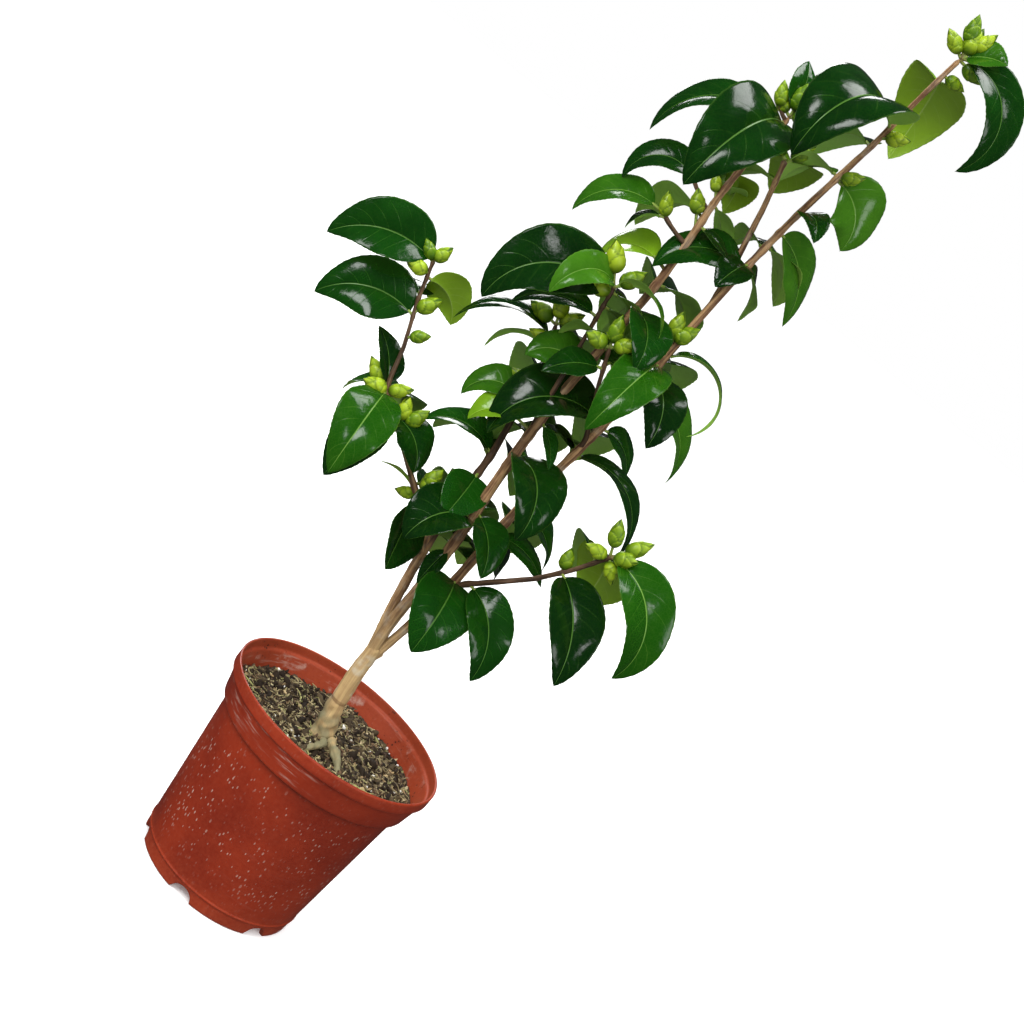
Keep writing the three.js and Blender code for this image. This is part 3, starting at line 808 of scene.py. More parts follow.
def bud_skins(feet, ways, lengths, seed):
    """Rings of every bud, with rim, place up the scale, age and the shadow under a rim for each point.

    Below the belly the radius is part of an ellipse, above it (1 - x ** 1.9) ** 0.9, and the outermost
    scale over a point adds its layer. A scale with its tip at h covers t where 1 - (t / h) ** 2.4 is
    more than (turn from its middle / half its spread) squared.
    """
    draw = np.random.default_rng(seed)
    count = len(feet)
    t = np.linspace(0, 1, BUD_ROWS)[None, :, None]
    turn = (np.arange(BUD_COLUMNS) / BUD_COLUMNS * FULL_TURN)[None, None]
    start = draw.uniform(0, FULL_TURN, (count, 1, 1))
    girth = draw.uniform(0.25, 0.3, (count, 1, 1)) * lengths[:, None, None]
    stand, edge, up_scale, shadow = [np.zeros((count, BUD_ROWS, BUD_COLUMNS)) for _ in range(4)]
    for scale in range(SCALES - 1, -1, -1):
        height = 0.3 + 0.75 * (scale / (SCALES - 1)) ** 0.8
        away = (turn - start - GOLDEN_TURN * scale + np.pi) % FULL_TURN - np.pi
        inside = 1 - (t / height) ** 2.4 - (away / (1.15 + 0.1 * scale)) ** 2
        cover = smooth_step(inside, 0, 0.14)
        layer = 0.062 * (SCALES - scale) ** 0.8
        stand = stand * (1 - cover) + layer * cover
        edge = edge * (1 - cover) + cover * (1 - smooth_step(inside, 0.03, 0.3))
        up_scale = up_scale * (1 - cover) + cover * np.clip(t / height, 0, 1)
        shadow = np.maximum(shadow, np.exp(inside / 0.22) * (inside < 0.05)) * (1 - cover)
    low = np.sqrt(1 - 0.88 * np.clip(1 - t / BUD_BELLY, 0, 1) ** 2)
    high = (1 - np.clip((t - BUD_BELLY) / (1 - BUD_BELLY), 0, 1) ** 1.9) ** 0.9
    radius = girth * (low * high + 0.012) * (0.8 + stand)
    side = unit(np.cross(ways, heading(draw.uniform(0, 360, count), 35.0)))[:, None, None]
    up = np.cross(ways[:, None, None], side)
    middle = feet[:, None, None] + ways[:, None, None] * (t * lengths[:, None, None])[..., None]
    points = middle + radius[..., None] * (np.cos(turn)[..., None] * side + np.sin(turn)[..., None] * up)
    age = np.broadcast_to(draw.uniform(0, 1, (count, 1, 1)), stand.shape)
    rings = np.stack([*np.moveaxis(points, -1, 0), edge, up_scale, age, shadow], -1)
    ages = age[:, 0, 0:1]
    ends = np.concatenate([np.zeros((count, 1)), np.ones((count, 1)), ages, np.zeros((count, 1))], 1)
    foot_ends = np.concatenate([feet - ways * 0.3 * MM, ends], 1)
    tip_ends = np.concatenate([feet + ways * (lengths[:, None] + 0.5 * MM), ends], 1)
    return with_ends(rings, foot_ends, tip_ends)


bud_points = bud_skins(bud_feet, bud_ways, bud_rows[:, 4] * MM, BUD_SEED)
print("buds:", len(bud_rows))

# %% [markdown]
# ## Stalks
# Each leaf has a stout green stalk and each bud a short one, and both swell where they join the shoot.
# They are tubes along a bent line from the middle of the limb to the foot of the blade or bud.

# %% Stalk skins
STALK_ROWS, STALK_COLUMNS = 12, 10
LONGEST_BEND, LEAF_ARCH, BUD_SAG = 9 * MM, 0.6 * MM, 0.8 * MM


def bent_lines(start, middle, end, count):
    """Points on the curve (1-t)^2 * start + 2t(1-t) * middle + t^2 * end."""
    t = np.linspace(0, 1, count)[None, :, None]
    return (1 - t) ** 2 * start[:, None] + 2 * t * (1 - t) * middle[:, None] + t ** 2 * end[:, None]


leaf_ends = midribs[:, 1]
reach = np.linalg.norm(leaf_ends - feet, axis=1, keepdims=True)
leaf_bends = leaf_ends - leaf_ways[:, 0] * np.minimum(reach, LONGEST_BEND) / 2 + np.array([0, 0, LEAF_ARCH])
bud_bends = (bud_starts + bud_feet) / 2 - np.array([0, 0, BUD_SAG])
stalk_lines = np.concatenate([
    bent_lines(feet, leaf_bends, leaf_ends, STALK_ROWS),
    bent_lines(bud_starts, bud_bends, bud_feet + bud_ways * MM, STALK_ROWS),
])
share = np.linspace(0, 1, STALK_ROWS)
stalk_radii = MM * (1.05 + 0.7 * (1 - share) ** 3 + 0.15 * share)
stalk_radii = np.broadcast_to(stalk_radii, stalk_lines.shape[:2])
stalk_rings = tube(stalk_lines, stalk_radii, STALK_COLUMNS)
print("stalks:", len(stalk_lines))

# %% [markdown]
# ## The wood's skin
# Bark is not smooth: it swells where each leaf sits, is stringy along the limb, and is knotted at the
# roots. A bump in the finish would vanish at the outline, so the ridges are in the mesh. Their noise is
# worked out on the straightened limb, so that they follow every bend.

# %% Limb skins
NODE_SWELL, NODE_LENGTH = 0.45 * MM, 2.6 * MM
COLLAR, COLLAR_LENGTH = 0.3, 7 * MM
# Width, width and length of each kind of relief, then its height and its seed.
FIBRE = ((2.2 * MM, 2.2 * MM, 26 * MM), 0.34 * MM, 31)
CRACK = ((0.9 * MM, 0.9 * MM, 8 * MM), 0.16 * MM, 32)
KNOT = ((9 * MM, 9 * MM, 9 * MM), 1.1 * MM, 33)


def relief(straight, kind):
    """Height of one kind of relief at places on a straightened limb."""
    lengths, height, seed = kind
    return height * ripple(straight, lengths, seed)


def wood_skins():
    """Rings of every limb, with the straightened place and the youth of each point.

    Radius is the girth, plus a collar that dies away from the foot, a swelling round each leaf's node,
    ridges that run with the fibres, and knots on the roots and the trunk's foot.
    """
    rings, ends = [], []
    turn = np.arange(WOOD_COLUMNS) / WOOD_COLUMNS * FULL_TURN
    for number, (name, (path, girth, youth)) in enumerate(limbs.items()):
        steps = np.linalg.norm(np.diff(path, axis=0), axis=1)
        run = np.concatenate([[0], np.cumsum(steps)])
        left = run[-1] - run
        close = np.sqrt(np.clip(1 - np.clip(1 - left / np.maximum(girth, MM), 0, 1) ** 2, 0.01, 1))
        collar = 1 + (0 if name == "trunk" else COLLAR) * np.exp(-run / COLLAR_LENGTH)
        nodes_here = [row[2] * MM for row in rows if row[1] == name]
        swell = sum((np.exp(-((path[:, 2] - node) / NODE_LENGTH) ** 2) for node in nodes_here), 0 * run)
        radius = (girth * collar + NODE_SWELL * np.minimum(swell, 1.2)) * close
        even = tube(path[None], radius[None], WOOD_COLUMNS)[0]
        along = (run + number)[:, None] + 0 * turn
        straight = np.stack([radius[:, None] * np.cos(turn), radius[:, None] * np.sin(turn), along], -1)
        rough = np.clip(girth / (5 * MM), 0.15, 1)[:, None] * close[:, None]
        height = relief(straight, FIBRE) + relief(straight, CRACK)
        if name.startswith("root") or name == "trunk":
            low = 1 - smooth_step(even[..., 2], 0.155, 0.19) if name == "trunk" else 1
            height = height + low * relief(straight, KNOT)
        points = even + unit(even - path[:, None]) * (rough * height)[..., None]
        young = np.full((LIMB_ROWS, WOOD_COLUMNS, 1), youth)
        if name == "stem_left":
            young = young + 0.8 * smooth_step(path[:, 2], 0.318, 0.335)[:, None, None]
        rings.append(np.concatenate([points, straight, young], -1))
        ends.append([np.concatenate([path[i], straight[i].mean(0), young[i, 0]]) for i in (0, -1)])
    ends = np.array(ends)
    return with_ends(np.array(rings), ends[:, 0], ends[:, 1])


wood_points = wood_skins()
print("wood grid:", wood_points.shape)

# %% [markdown]
# ## Finishes of the plant
# The leaves are deep green and glossy above, matt and paler below, with a yellow-green midrib. The
# undersides, and the pale leaves, are made lighter still by painted light shining through the blade. One
# green for all would look like plastic. Plain colours dealt out leaf by leaf keep neighbours apart, and the
# veins follow the same formula as the blade.

# %% Leaf finish
KEEL_COLOUR = (0.26, 0.38, 0.08)


def leaf_finish(name, dark, light, vein_colour, under):
    """Glossy above and matt below, with midrib, side veins, mottling and a lighter edge."""
    material, wire, shader = new_finish(name)
    across, along = wire.attribute("across"), wire.attribute("along")
    below, tone = wire.attribute("below").step(0.4, 0.6), wire.attribute("tone")
    side = abs(across)
    place = wire.place()
    mottle = place.noise(55.0, 4.0)
    grain = place.noise(700.0, 2.0)
    midrib = 1 - side.step(0.006, 0.036)
    phase = along * SIDE_VEINS - VEIN_SLANT * side ** 1.15 + 0.5 * across.step(-0.001, 0.001)
    vein_gap = abs(phase.fract() - 0.5)
    veins = (1 - vein_gap.step(0.008, 0.05)) * (1 - side.step(0.6, 0.95)) * mottle.step(0.25, 0.7)
    net = place.cells(420.0, feature="DISTANCE_TO_EDGE")
    net_line = 1 - net.step(0.0, 0.12)
    shade = (mottle * 0.7 + tone * 0.75 - 0.25).step(0.0, 1.0)
    upper = shade.mix(dark, light)
    upper = (veins * 0.2 + net_line * 0.05).mix(upper, vein_colour)
    upper = (midrib * 0.85).mix(upper, vein_colour)
    upper = (side.step(0.94, 1.0) * 0.35).mix(upper, vein_colour)
    # The underside colour carries painted light shining through the blade, besides its own paler green.
    lower = (mottle * 0.5 + tone * 0.3).mix(under, tuple(0.62 * part for part in under))
    lower = (midrib * 0.8 + veins * 0.35).mix(lower, KEEL_COLOUR)
    swell = place.noise(105.0, 2.0)
    gloss = 0.09 + mottle * 0.09 + midrib * 0.15
    height = swell * 2.4 + grain * 0.08 + net_line * -0.08 - veins * 0.4
    set_shader(shader, {
        "Base Color": below.mix(upper, lower),
        "Roughness": gloss * (1 - below) + below * 0.55,
        "Coat Weight": (1 - below) * 0.2,
        "Coat Roughness": 0.05,
        "Specular IOR Level": 0.45,
        "Normal": wire.bump(height, 0.35, 0.4 * MM),
    })
    return material


# Each colour of leaf: darkest and lightest upper side, veins, and the underside, which is paler of itself and
# made lighter still by painted light shining through the blade.
LEAF_COLOURS = {
    "leaves_deep": (
        (0.0008, 0.012, 0.001), (0.004, 0.045, 0.002), (0.05, 0.125, 0.015), (0.22, 0.43, 0.055),
    ),
    "leaves_fresh": (
        (0.006, 0.05, 0.001), (0.04, 0.14, 0.006), (0.11, 0.23, 0.03), (0.26, 0.48, 0.065),
    ),
    # Pale leaves: partly their own light yellow-green, partly painted light shining through the blade.
    "leaves_pale": (
        (0.095, 0.215, 0.006), (0.18, 0.33, 0.012), (0.25, 0.4, 0.04), (0.185, 0.33, 0.008),
    ),
}
# Each piece: its colour, and the heights in metres between which its leaves sit.
LEAF_PIECES = {
    "leaves_deep_low": ("leaves_deep", 0.0, 0.47), "leaves_deep_high": ("leaves_deep", 0.47, 2.0),
    "leaves_fresh": ("leaves_fresh", 0.0, 2.0), "leaves_pale": ("leaves_pale", 0.0, 2.0),
}
OLD_LENGTH = 75.0          # mm
draw = np.random.default_rng(LEAF_SEED)
# The longest leaves are the oldest, and darker.
youths = np.clip(1.75 - notes[:, 5] / OLD_LENGTH, 0.25, 1)
tones = np.repeat(draw.uniform(0, 1, len(rows)) * youths, leaf_size)
shades = list(LEAF_COLOURS)
finishes = {name: leaf_finish(name, *colours) for name, colours in LEAF_COLOURS.items()}
skins = np.column_stack([skins, tones])
LEAF_COLUMNS = 2 * (2 * len(HALF_ACROSS) + 1)
LEAF_LAYERS = {"across": 3, "along": 4, "below": 5, "tone": 6}
for name, (shade, low, high) in LEAF_PIECES.items():
    taken = (colour == shades.index(shade)) & (feet[:, 2] >= low) & (feet[:, 2] < high)
    number = int(taken.sum())
    skin_piece(
        name, skins[np.repeat(taken, leaf_size)], (number, LEAF_ROWS, LEAF_COLUMNS),
        int(np.ceil(np.sqrt(number))), finishes[shade], LEAF_LAYERS, sorted(set(masses[taken])),
    )

# %% [markdown]
# ## The buds' finish
# A bud's scales are silky and yellow-green, and some are brown at the tip. Each scale is darkened towards its
# foot by painted shade, has a painted shadow just below the rim over it, and a pale rim that is partly its
# own colour and partly painted highlight. A noise would cross from scale to scale. The skins' formula has
# already said how far up its scale each point is, and how near to a rim, so the colours follow the scales.

# %% Bud finish
BUD_GREEN = (0.055, 0.140, 0.003)
# Pale yellow-green: the buds' own lighter tone, and also the painted highlight on each scale's rim.
BUD_PALE_AND_HIGHLIGHT = (0.320, 0.440, 0.016)
BUD_SHADOW = (0.022, 0.062, 0.001)
BUD_BROWN = (0.16, 0.075, 0.02)


def bud_finish():
    """Yellow-green scales with painted shade at their feet and below each rim, a pale rim that is partly
    painted highlight, some brown at the tip.
    """
    material, wire, shader = new_finish("bud_scales")
    edge, up_scale, age = wire.attribute("edge"), wire.attribute("up_scale"), wire.attribute("age")
    shadow = wire.attribute("shadow")
    mottle = wire.place().noise(260.0, 3.0)
    silk = wire.place().noise(900.0, 2.0)
    green = (mottle * 0.35 + age * 0.45 + up_scale * 0.2).step(0.2, 0.9).mix(BUD_GREEN, BUD_PALE_AND_HIGHLIGHT)
    # Painted shade: each scale is darkened towards its foot.
    green = ((1 - up_scale).step(0.35, 1.0) * 0.75).mix(green, BUD_SHADOW)
    # The rim of each scale is made pale: partly its own colour, partly painted highlight.
    green = (edge * 0.5).mix(green, BUD_PALE_AND_HIGHLIGHT)
    green = (shadow * 0.65).mix(green, BUD_SHADOW)
    brown = up_scale.step(0.86, 1.0) * (age + mottle * 0.6).step(0.75, 1.1)
    set_shader(shader, {
        "Base Color": (brown * 0.7).mix(green, BUD_BROWN),
        "Roughness": 0.26 + silk * 0.14,
        "Specular IOR Level": 0.5,
        "Normal": wire.bump(silk, 0.25, 0.2 * MM),
    })
    return material


BUD_LAYERS = {"edge": 3, "up_scale": 4, "age": 5, "shadow": 6}
skin_piece(
    "flower_buds", bud_points, (len(bud_rows), BUD_ROWS, BUD_COLUMNS), 8, bud_finish(), BUD_LAYERS
)

# %% [markdown]
# ## The wood's finish
# The trunk is pale tan with grey patches and moss at its foot, the stems are streaked, and the shoots are
# dark brown. Each could have its own material, but then every fork would show a line. One finish fades
# from kind to kind by height and by the youth that each limb carries.

# %% Wood finish
TAN, TAN_DARK = (0.52, 0.365, 0.165), (0.38, 0.25, 0.115)
STEM, STEM_DARK = (0.42, 0.25, 0.115), (0.105, 0.045, 0.020)
YOUNG, YOUNG_DARK = (0.12, 0.065, 0.032), (0.035, 0.018, 0.010)
MOSS = (0.185, 0.170, 0.092)
LICHEN = (0.56, 0.53, 0.42)
SCAR_HEIGHT, SCAR_REACH = 0.182, 0.0022    # the dark ring round the trunk's foot


def wood_finish():
    """Fibres that follow the limb, grey patches, a scar, moss at the trunk's foot, dark young shoots."""
    material, wire, shader = new_finish("camellia_bark")
    straight = wire.attribute("straight", "Vector")
    youth = wire.attribute("youth").step(0.0, 1.0)
    fibre = straight.scaled((1.0, 1.0, 0.06)).noise(430.0, 5.0, 0.6)
    band = straight.scaled((0.12, 0.12, 1.0)).noise(95.0, 3.0)
    place = wire.place()
    patch = place.noise(70.0, 4.0)
    x, y, height = place.parts()
    streak = (fibre * 1.3 + band * 0.3 - 0.32).step(0.3, 0.7)
    stem = height.step(0.21, 0.30)
    old = stem.mix(streak.mix(TAN_DARK, TAN), streak.mix(STEM_DARK, STEM))
    old = (patch.step(0.5, 0.7) * (0.55 - stem * 0.35)).mix(old, LICHEN)
    speck = place.noise(420.0, 4.0).step(0.62, 0.75) * (1 - stem)
    scar = 1 - (abs(height - SCAR_HEIGHT) / SCAR_REACH).step(0.3, 1.0)
    old = (speck * 0.35 + scar * band.step(0.35, 0.6) * 0.7).mix(old, STEM_DARK)
    young = streak.mix(YOUNG_DARK, YOUNG)
    bark = youth.mix(old, young)
    moss = (1 - height.step(0.162, 0.184)) * (patch.step(0.32, 0.55) * 0.6 + 0.3)
    moss = moss + ((x * x + y * y) ** 0.5).step(0.012, 0.020) * (1 - height.step(0.175, 0.19)) * 0.5
    set_shader(shader, {
        "Base Color": (moss * 0.85).step(0.0, 1.0).mix(bark, MOSS),
        "Roughness": 0.78 - youth * 0.25 + fibre * 0.1,
        "Normal": wire.bump(fibre + band * 0.4, 0.55, 0.5 * MM),
    })
    return material


skin_piece(
    "trunk_and_stems", wood_points, (len(limbs), LIMB_ROWS, WOOD_COLUMNS), 1, wood_finish(),
    {"straight": slice(3, 6), "youth": 6}, tuple(PARENTS),
)

# %% [markdown]
# ## The stalks' finish
# A stalk is green, and brown where it leaves the wood. A second material for the brown end would leave a
# sharp edge, so one finish fades from brown to green by the share of the stalk's length.

# %% Stalk finish
STALK_DARK, STALK_LIGHT = (0.13, 0.20, 0.03), (0.26, 0.34, 0.06)


def stalk_finish():
    """Green stalks with a brownish foot."""
    material, wire, shader = new_finish("green_stalk")
    place = wire.place()
    shade = place.noise(160.0, 3.0)
    foot = 1 - wire.attribute("along").step(0.1, 0.55)
    green = shade.mix(STALK_DARK, STALK_LIGHT)
    set_shader(shader, {
        "Base Color": (foot * 0.75).mix(green, YOUNG),
        "Roughness": 0.45 + shade * 0.1,
        "Normal": wire.bump(place.noise(900.0, 2.0), 0.2, 0.3 * MM),
    })
    return material


stalk_share = np.broadcast_to(share[None, :, None, None], (*stalk_rings.shape[:3], 1))
stalk_points = with_ends(
    np.concatenate([stalk_rings, stalk_share], -1),
    np.concatenate([stalk_lines[:, 0], np.zeros((len(stalk_lines), 1))], 1),
    np.concatenate([stalk_lines[:, -1], np.ones((len(stalk_lines), 1))], 1),
)
skin_piece(
    "stalks", stalk_points, (len(stalk_lines), STALK_ROWS, STALK_COLUMNS), 4, stalk_finish(),
    {"along": 3},
)

# %% [markdown]
# ## The pot
# The pot is moulded from red-brown plastic: a lip, a tall collar, a plain wall, a fine bead and a foot
# with rounded notches. Boxes and cylinders joined together would leave sharp seams. A section with every
# corner rounded, carried once round, gives the moulding in one skin, and a formula in the turn lifts the
# foot into its notches.

# %% Pot section
pot_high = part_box("pot")[1]
RIM, HEIGHT = pot_high.x / MM, pot_high.z / MM
# Corners in mm from the middle of the underside, out, up, over the rim and down inside: radius, height,
# and how much of the corner is rounded off.
SECTION = np.array([
    (0, 0, 0), (46, 0, 2), (52, 10, 2.5), (63, 10, 2), (65.2, 0, 1), (70, 0, 1.8), (71.1, 11.4, 0.6),
    (72.2, 12.9, 0.7), (71.4, 14.4, 0.6), (83.5, 138, 1), (88, 138, 1.4), (RIM - 2.2, 160, 0.8),
    (RIM, 160, 1.1), (RIM, HEIGHT, 1.2), (RIM - 2.2, HEIGHT, 1), (RIM - 2.6, 162.2, 1),
    (RIM - 4.6, 160.4, 1.2), (86, 141, 1.5), (81.3, 137, 1.5), (67.8, 12.2, 2), (49.8, 12.2, 2),
    (43.8, 2.2, 2), (0, 2.2, 0),
], float)
POT_COLUMNS = 264
LONGEST_STEP, SHORTEST_STEP, FINE_STEP = 4.0, 0.12, 1.0    # mm along the section between rings
CHANNEL = (50.0, 75.0)     # radii between which the rings are closer, for holes and notches
UNDERSIDE = 120.0          # length of section, from the middle, that lies under the pot and on its foot
FOOT_TOP = 10.0
NOTCHES, NOTCH_WIDTH, NOTCH_HEIGHT, NOTCH_START = 6, 20.0, 9.0, 20.0
HOLE_CORE, HOLE_RADIUS, HOLE_PLACE, HOLE_DEPTH = 2.8, 3.5, 57.5, 1.7
OUT_OF_ROUND = 0.0022


def rounded(section):
    """The section with each corner swapped for a curve through a, (a + 2p + b) / 4 and b on its sides."""
    points, radius = section[:, :2], section[1:-1, 2:3]
    before, corner, after = points[:-2], points[1:-1], points[2:]
    a = corner + unit(before - corner) * radius
    b = corner + unit(after - corner) * radius
    t = np.array([0, 0.25, 0.5, 0.75, 1])[None, :, None]
    curve = (1 - t) ** 2 * a[:, None] + 2 * t * (1 - t) * corner[:, None] + t ** 2 * b[:, None]
    return np.vstack([points[:1], curve.reshape(-1, 2), points[-1:]])


def filled_in(line):
    """The line with more points where a step is long, and closer ones in the channel."""
    length = np.concatenate([[0], np.cumsum(np.linalg.norm(np.diff(line, axis=0), axis=1))])
    coarse = np.arange(0, length[-1], LONGEST_STEP)
    fine = np.arange(0, length[-1], FINE_STEP)
    at_radius, at_height = [np.interp(fine, length, line[:, i]) for i in (0, 1)]
    low = (at_height < FOOT_TOP + 2) & (fine < UNDERSIDE)
    fine = fine[(at_radius > CHANNEL[0]) & (at_radius < CHANNEL[1]) & low]
    places = np.unique(np.round(np.concatenate([length, coarse, fine]), 2))
    places = places[np.concatenate([[True], np.diff(places) > SHORTEST_STEP])]
    return np.stack([np.interp(places, length, line[:, i]) for i in (0, 1)], -1)


pot_line = filled_in(rounded(SECTION))
print("pot section:", len(pot_line), "rings")

# %% Pot skin
turn = np.arange(POT_COLUMNS) / POT_COLUMNS * FULL_TURN
radius, height = pot_line[1:-1, 0:1], pot_line[1:-1, 1:2]
outside = np.arange(len(radius))[:, None] < radius.argmax()
notch_turns = np.radians(NOTCH_START + 360 / NOTCHES * np.arange(NOTCHES))
away = (turn[:, None] - notch_turns + np.pi) % FULL_TURN - np.pi
nearest = np.abs(away).min(1)
foot_radius = SECTION[5, 0]
lift = NOTCH_HEIGHT * np.sqrt(np.clip(1 - (nearest * foot_radius / (NOTCH_WIDTH / 2)) ** 2, 0, 1))
lifted = outside & (radius > 62.5) & (height < FOOT_TOP)
height = height + lifted * lift * (1 - height / FOOT_TOP)
hole = np.hypot(radius * np.sin(nearest), radius * np.cos(nearest) - HOLE_PLACE)
in_channel = outside & (np.abs(height - FOOT_TOP) < 1)
height = height + in_channel * HOLE_DEPTH * (1 - smooth_step(hole, HOLE_CORE, HOLE_RADIUS))
wide = 1 + OUT_OF_ROUND * np.sin(2 * turn + 0.8) * (height / HEIGHT) ** 2 * (radius < RIM - 0.05)
inner = np.broadcast_to(np.arange(len(radius))[:, None] > pot_line[1:-1, 1].argmax(), height.shape)
pot_rings = np.stack([
    radius * np.cos(turn) * wide * MM, radius * np.sin(turn) * wide * MM, height * MM, inner,
], -1)
ends = [np.array([[0, 0, SECTION[i, 1] * MM, abs(i)]]) for i in (0, -1)]
pot_points = with_ends(pot_rings[None], *ends)
print("pot grid:", pot_rings.shape)

# %% [markdown]
# ## The pot's finish
# Red-brown plastic is cloudy, and this pot has been used: there are dried splashes low down, scuffs along
# the collar and lime inside. One even colour would look new. Each mark is a mask of its own, told where
# to be by height, by distance from the axis or by being inside.

# %% Pot finish
POT_RED, POT_DEEP = (0.265, 0.025, 0.006), (0.150, 0.012, 0.004)
# Pale red-brown: real wear on the rim and dust at the foot, and also painted light that lightens the inner
# wall.
POT_WORN_AND_LIT = (0.40, 0.070, 0.026)
LIME = (0.62, 0.50, 0.42)
EARTH_DARK = (0.014, 0.009, 0.006)
SPECK_CELLS, DROP_CELLS, CRUMB_CELLS = 430.0, 170.0, 240.0    # cells to a metre


def pot_finish():
    """Cloudy red-brown, dried splashes, scuffs on the collar, lime, stuck crumbs and painted light inside, a
    worn rim.
    """
    material, wire, shader = new_finish("moulded_plastic")
    place = wire.place()
    x, y, z = place.parts()
    radius = (x * x + y * y) ** 0.5
    cloud = place.noise(14.0, 4.0)
    fine = place.noise(330.0, 4.0)
    patch = place.noise(26.0, 3.0)
    running = place.scaled((1.0, 1.0, 0.45))
    small = running.cells(SPECK_CELLS, "Color").parts()[0]
    large = running.cells(DROP_CELLS, "Color").parts()[1]
    wet = patch.step(0.36, 0.56) * (1 - z.step(0.115, 0.137)) * z.step(0.02, 0.05)
    speck = running.cells(SPECK_CELLS) / (small * 0.32 + 0.05)
    speck = (1 - speck.step(0.6, 1.0)) * small.step(0.25, 0.6)
    drop = running.cells(DROP_CELLS) / (large * 0.16 + 0.02)
    drop = (1 - drop.step(0.8, 1.0)) * large.step(0.45, 0.6)
    stuck = place.cells(CRUMB_CELLS) / (large * 0.3 + 0.02)
    stuck = (1 - stuck.step(0.8, 1.0)) * large.step(0.5, 0.6)
    collar = z.step(0.137, 0.139) * (1 - z.step(0.159, 0.161))
    streak = place.scaled((0.10, 0.10, 1.0)).noise(420.0, 4.0)
    scuff = streak.step(0.52, 0.72) * place.noise(11.0, 2.0).step(0.42, 0.58) * (collar * 0.85 + 0.15)
    rim_edge = radius.step(0.0935, 0.0952) * z.step(0.1575, 0.1700)
    inside = wire.attribute("inside")
    lime_patch = place.noise(38.0, 5.0, 0.65).step(0.55, 0.72)
    lime_patch = lime_patch * z.step(0.141, 0.147) * (1 - z.step(0.155, 0.163))
    colour = cloud.step(0.25, 0.8).mix(POT_DEEP, POT_RED)
    colour = ((fine - 0.35) * 0.35).mix(colour, POT_WORN_AND_LIT)
    # Painted light: the whole inner wall is lightened. The rim's lightening is real wear.
    colour = (rim_edge * fine * 0.3 + inside * (0.3 + fine * 0.4)).mix(colour, POT_WORN_AND_LIT)
    marks = (speck * 0.5 + drop * 0.4) * (wet * 0.9 + 0.08) + scuff * (0.12 + collar * 0.4)
    colour = (marks * 0.75).mix(colour, LIME)
    colour = (inside * lime_patch * 0.6).mix(colour, LIME)
    colour = (inside * stuck * patch.step(0.35, 0.6) * 0.85).mix(colour, EARTH_DARK)
    dust = (1 - z.step(0.0, 0.03)) * fine * 0.5
    set_shader(shader, {
        "Base Color": dust.mix(colour, POT_WORN_AND_LIT),
        "Roughness": 0.27 + fine * 0.12 + marks * 0.3 + scuff * 0.15 + inside * 0.12,
        "Specular IOR Level": 0.4,
        "Normal": wire.bump(fine * 0.3 + cloud * 1.5 + speck * 0.4, 0.25, 0.6 * MM),
    })
    return material


skin_piece(
    "pot_shell", pot_points, (1, len(pot_line) - 2, POT_COLUMNS), 1, pot_finish(), {"inside": 3},
    ("pot",),
)

# %% [markdown]
# ## The compost
# It is a dark, fibrous mix with lumps, bits of bark, thin fibres and white perlite. A bumpy disc alone
# looks like chocolate. So a wavy top gives the lie of it, and thousands of small seeded solids will lie
# half sunk in it.

# %% Compost top
SOIL_TOP_SPARE = 4.8 * MM   # from the highest lump down to the middle level
SOIL_FOOT = 13.0           # mm
SOIL_COLUMNS, SOIL_SIDE_ROWS, SOIL_TOP_ROWS = 220, 12, 84
SWELL, LUMPS, MOUND = 1.7, ((1.3, 13 * MM, 41), (0.8, 5 * MM, 42), (0.45, 2.2 * MM, 43)), 2.5
soil_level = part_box("soil")[1].z - SOIL_TOP_SPARE
wall_line = pot_line[pot_line[:, 0].argmax() + 4:]


def soil_top(x, y):
    """Height of the compost: broad swells, then three sizes of lumps, and a rise round the trunk."""
    flat = np.stack([x, y], -1)
    swell = np.sin(x / (15 * MM) + 1) * np.cos(y / (12 * MM)) + np.sin((x - y) / (8 * MM)) / 2
    lumps = sum(height * ripple(flat, length, seed) for height, length, seed in LUMPS)
    mound = MOUND * np.exp(-((x + 3 * MM) ** 2 + y ** 2) / (16 * MM) ** 2)
    return soil_level + MM * (SWELL * swell + lumps + mound) - 0.02 * x


turn = np.arange(SOIL_COLUMNS) / SOIL_COLUMNS * FULL_TURN
order = wall_line[:, 1].argsort()
side_heights = np.linspace(SOIL_FOOT, soil_level / MM - 6, SOIL_SIDE_ROWS)
side_radii = np.interp(side_heights, wall_line[order, 1], wall_line[order, 0]) - 0.6
edge = (np.interp(soil_level / MM, wall_line[order, 1], wall_line[order, 0]) - 0.4) * MM
reach = np.concatenate([side_radii * MM, edge * np.linspace(1, 0.012, SOIL_TOP_ROWS)])
x, y = reach[:, None] * np.cos(turn), reach[:, None] * np.sin(turn)
z = soil_top(x, y)
z[:SOIL_SIDE_ROWS] = side_heights[:, None] * MM
soil_ends = [np.array([[0, 0, SOIL_FOOT * MM]]), np.array([[0, 0, soil_top(np.zeros(1), np.zeros(1))[0]]])]
soil_points = with_ends(np.stack([x, y, z], -1)[None], *soil_ends)
print("compost level:", round(soil_level / MM, 1), "mm")

# %% [markdown]
# ## The compost's finish
# Damp peat is nearly black, and brown or olive where it has dried. One even brown would hide the lumps.
# Noise of two sizes picks between the colours, and the same noise tilts the surface.

# %% Compost finish
EARTH, EARTH_OLIVE = (0.105, 0.068, 0.040), (0.17, 0.145, 0.062)


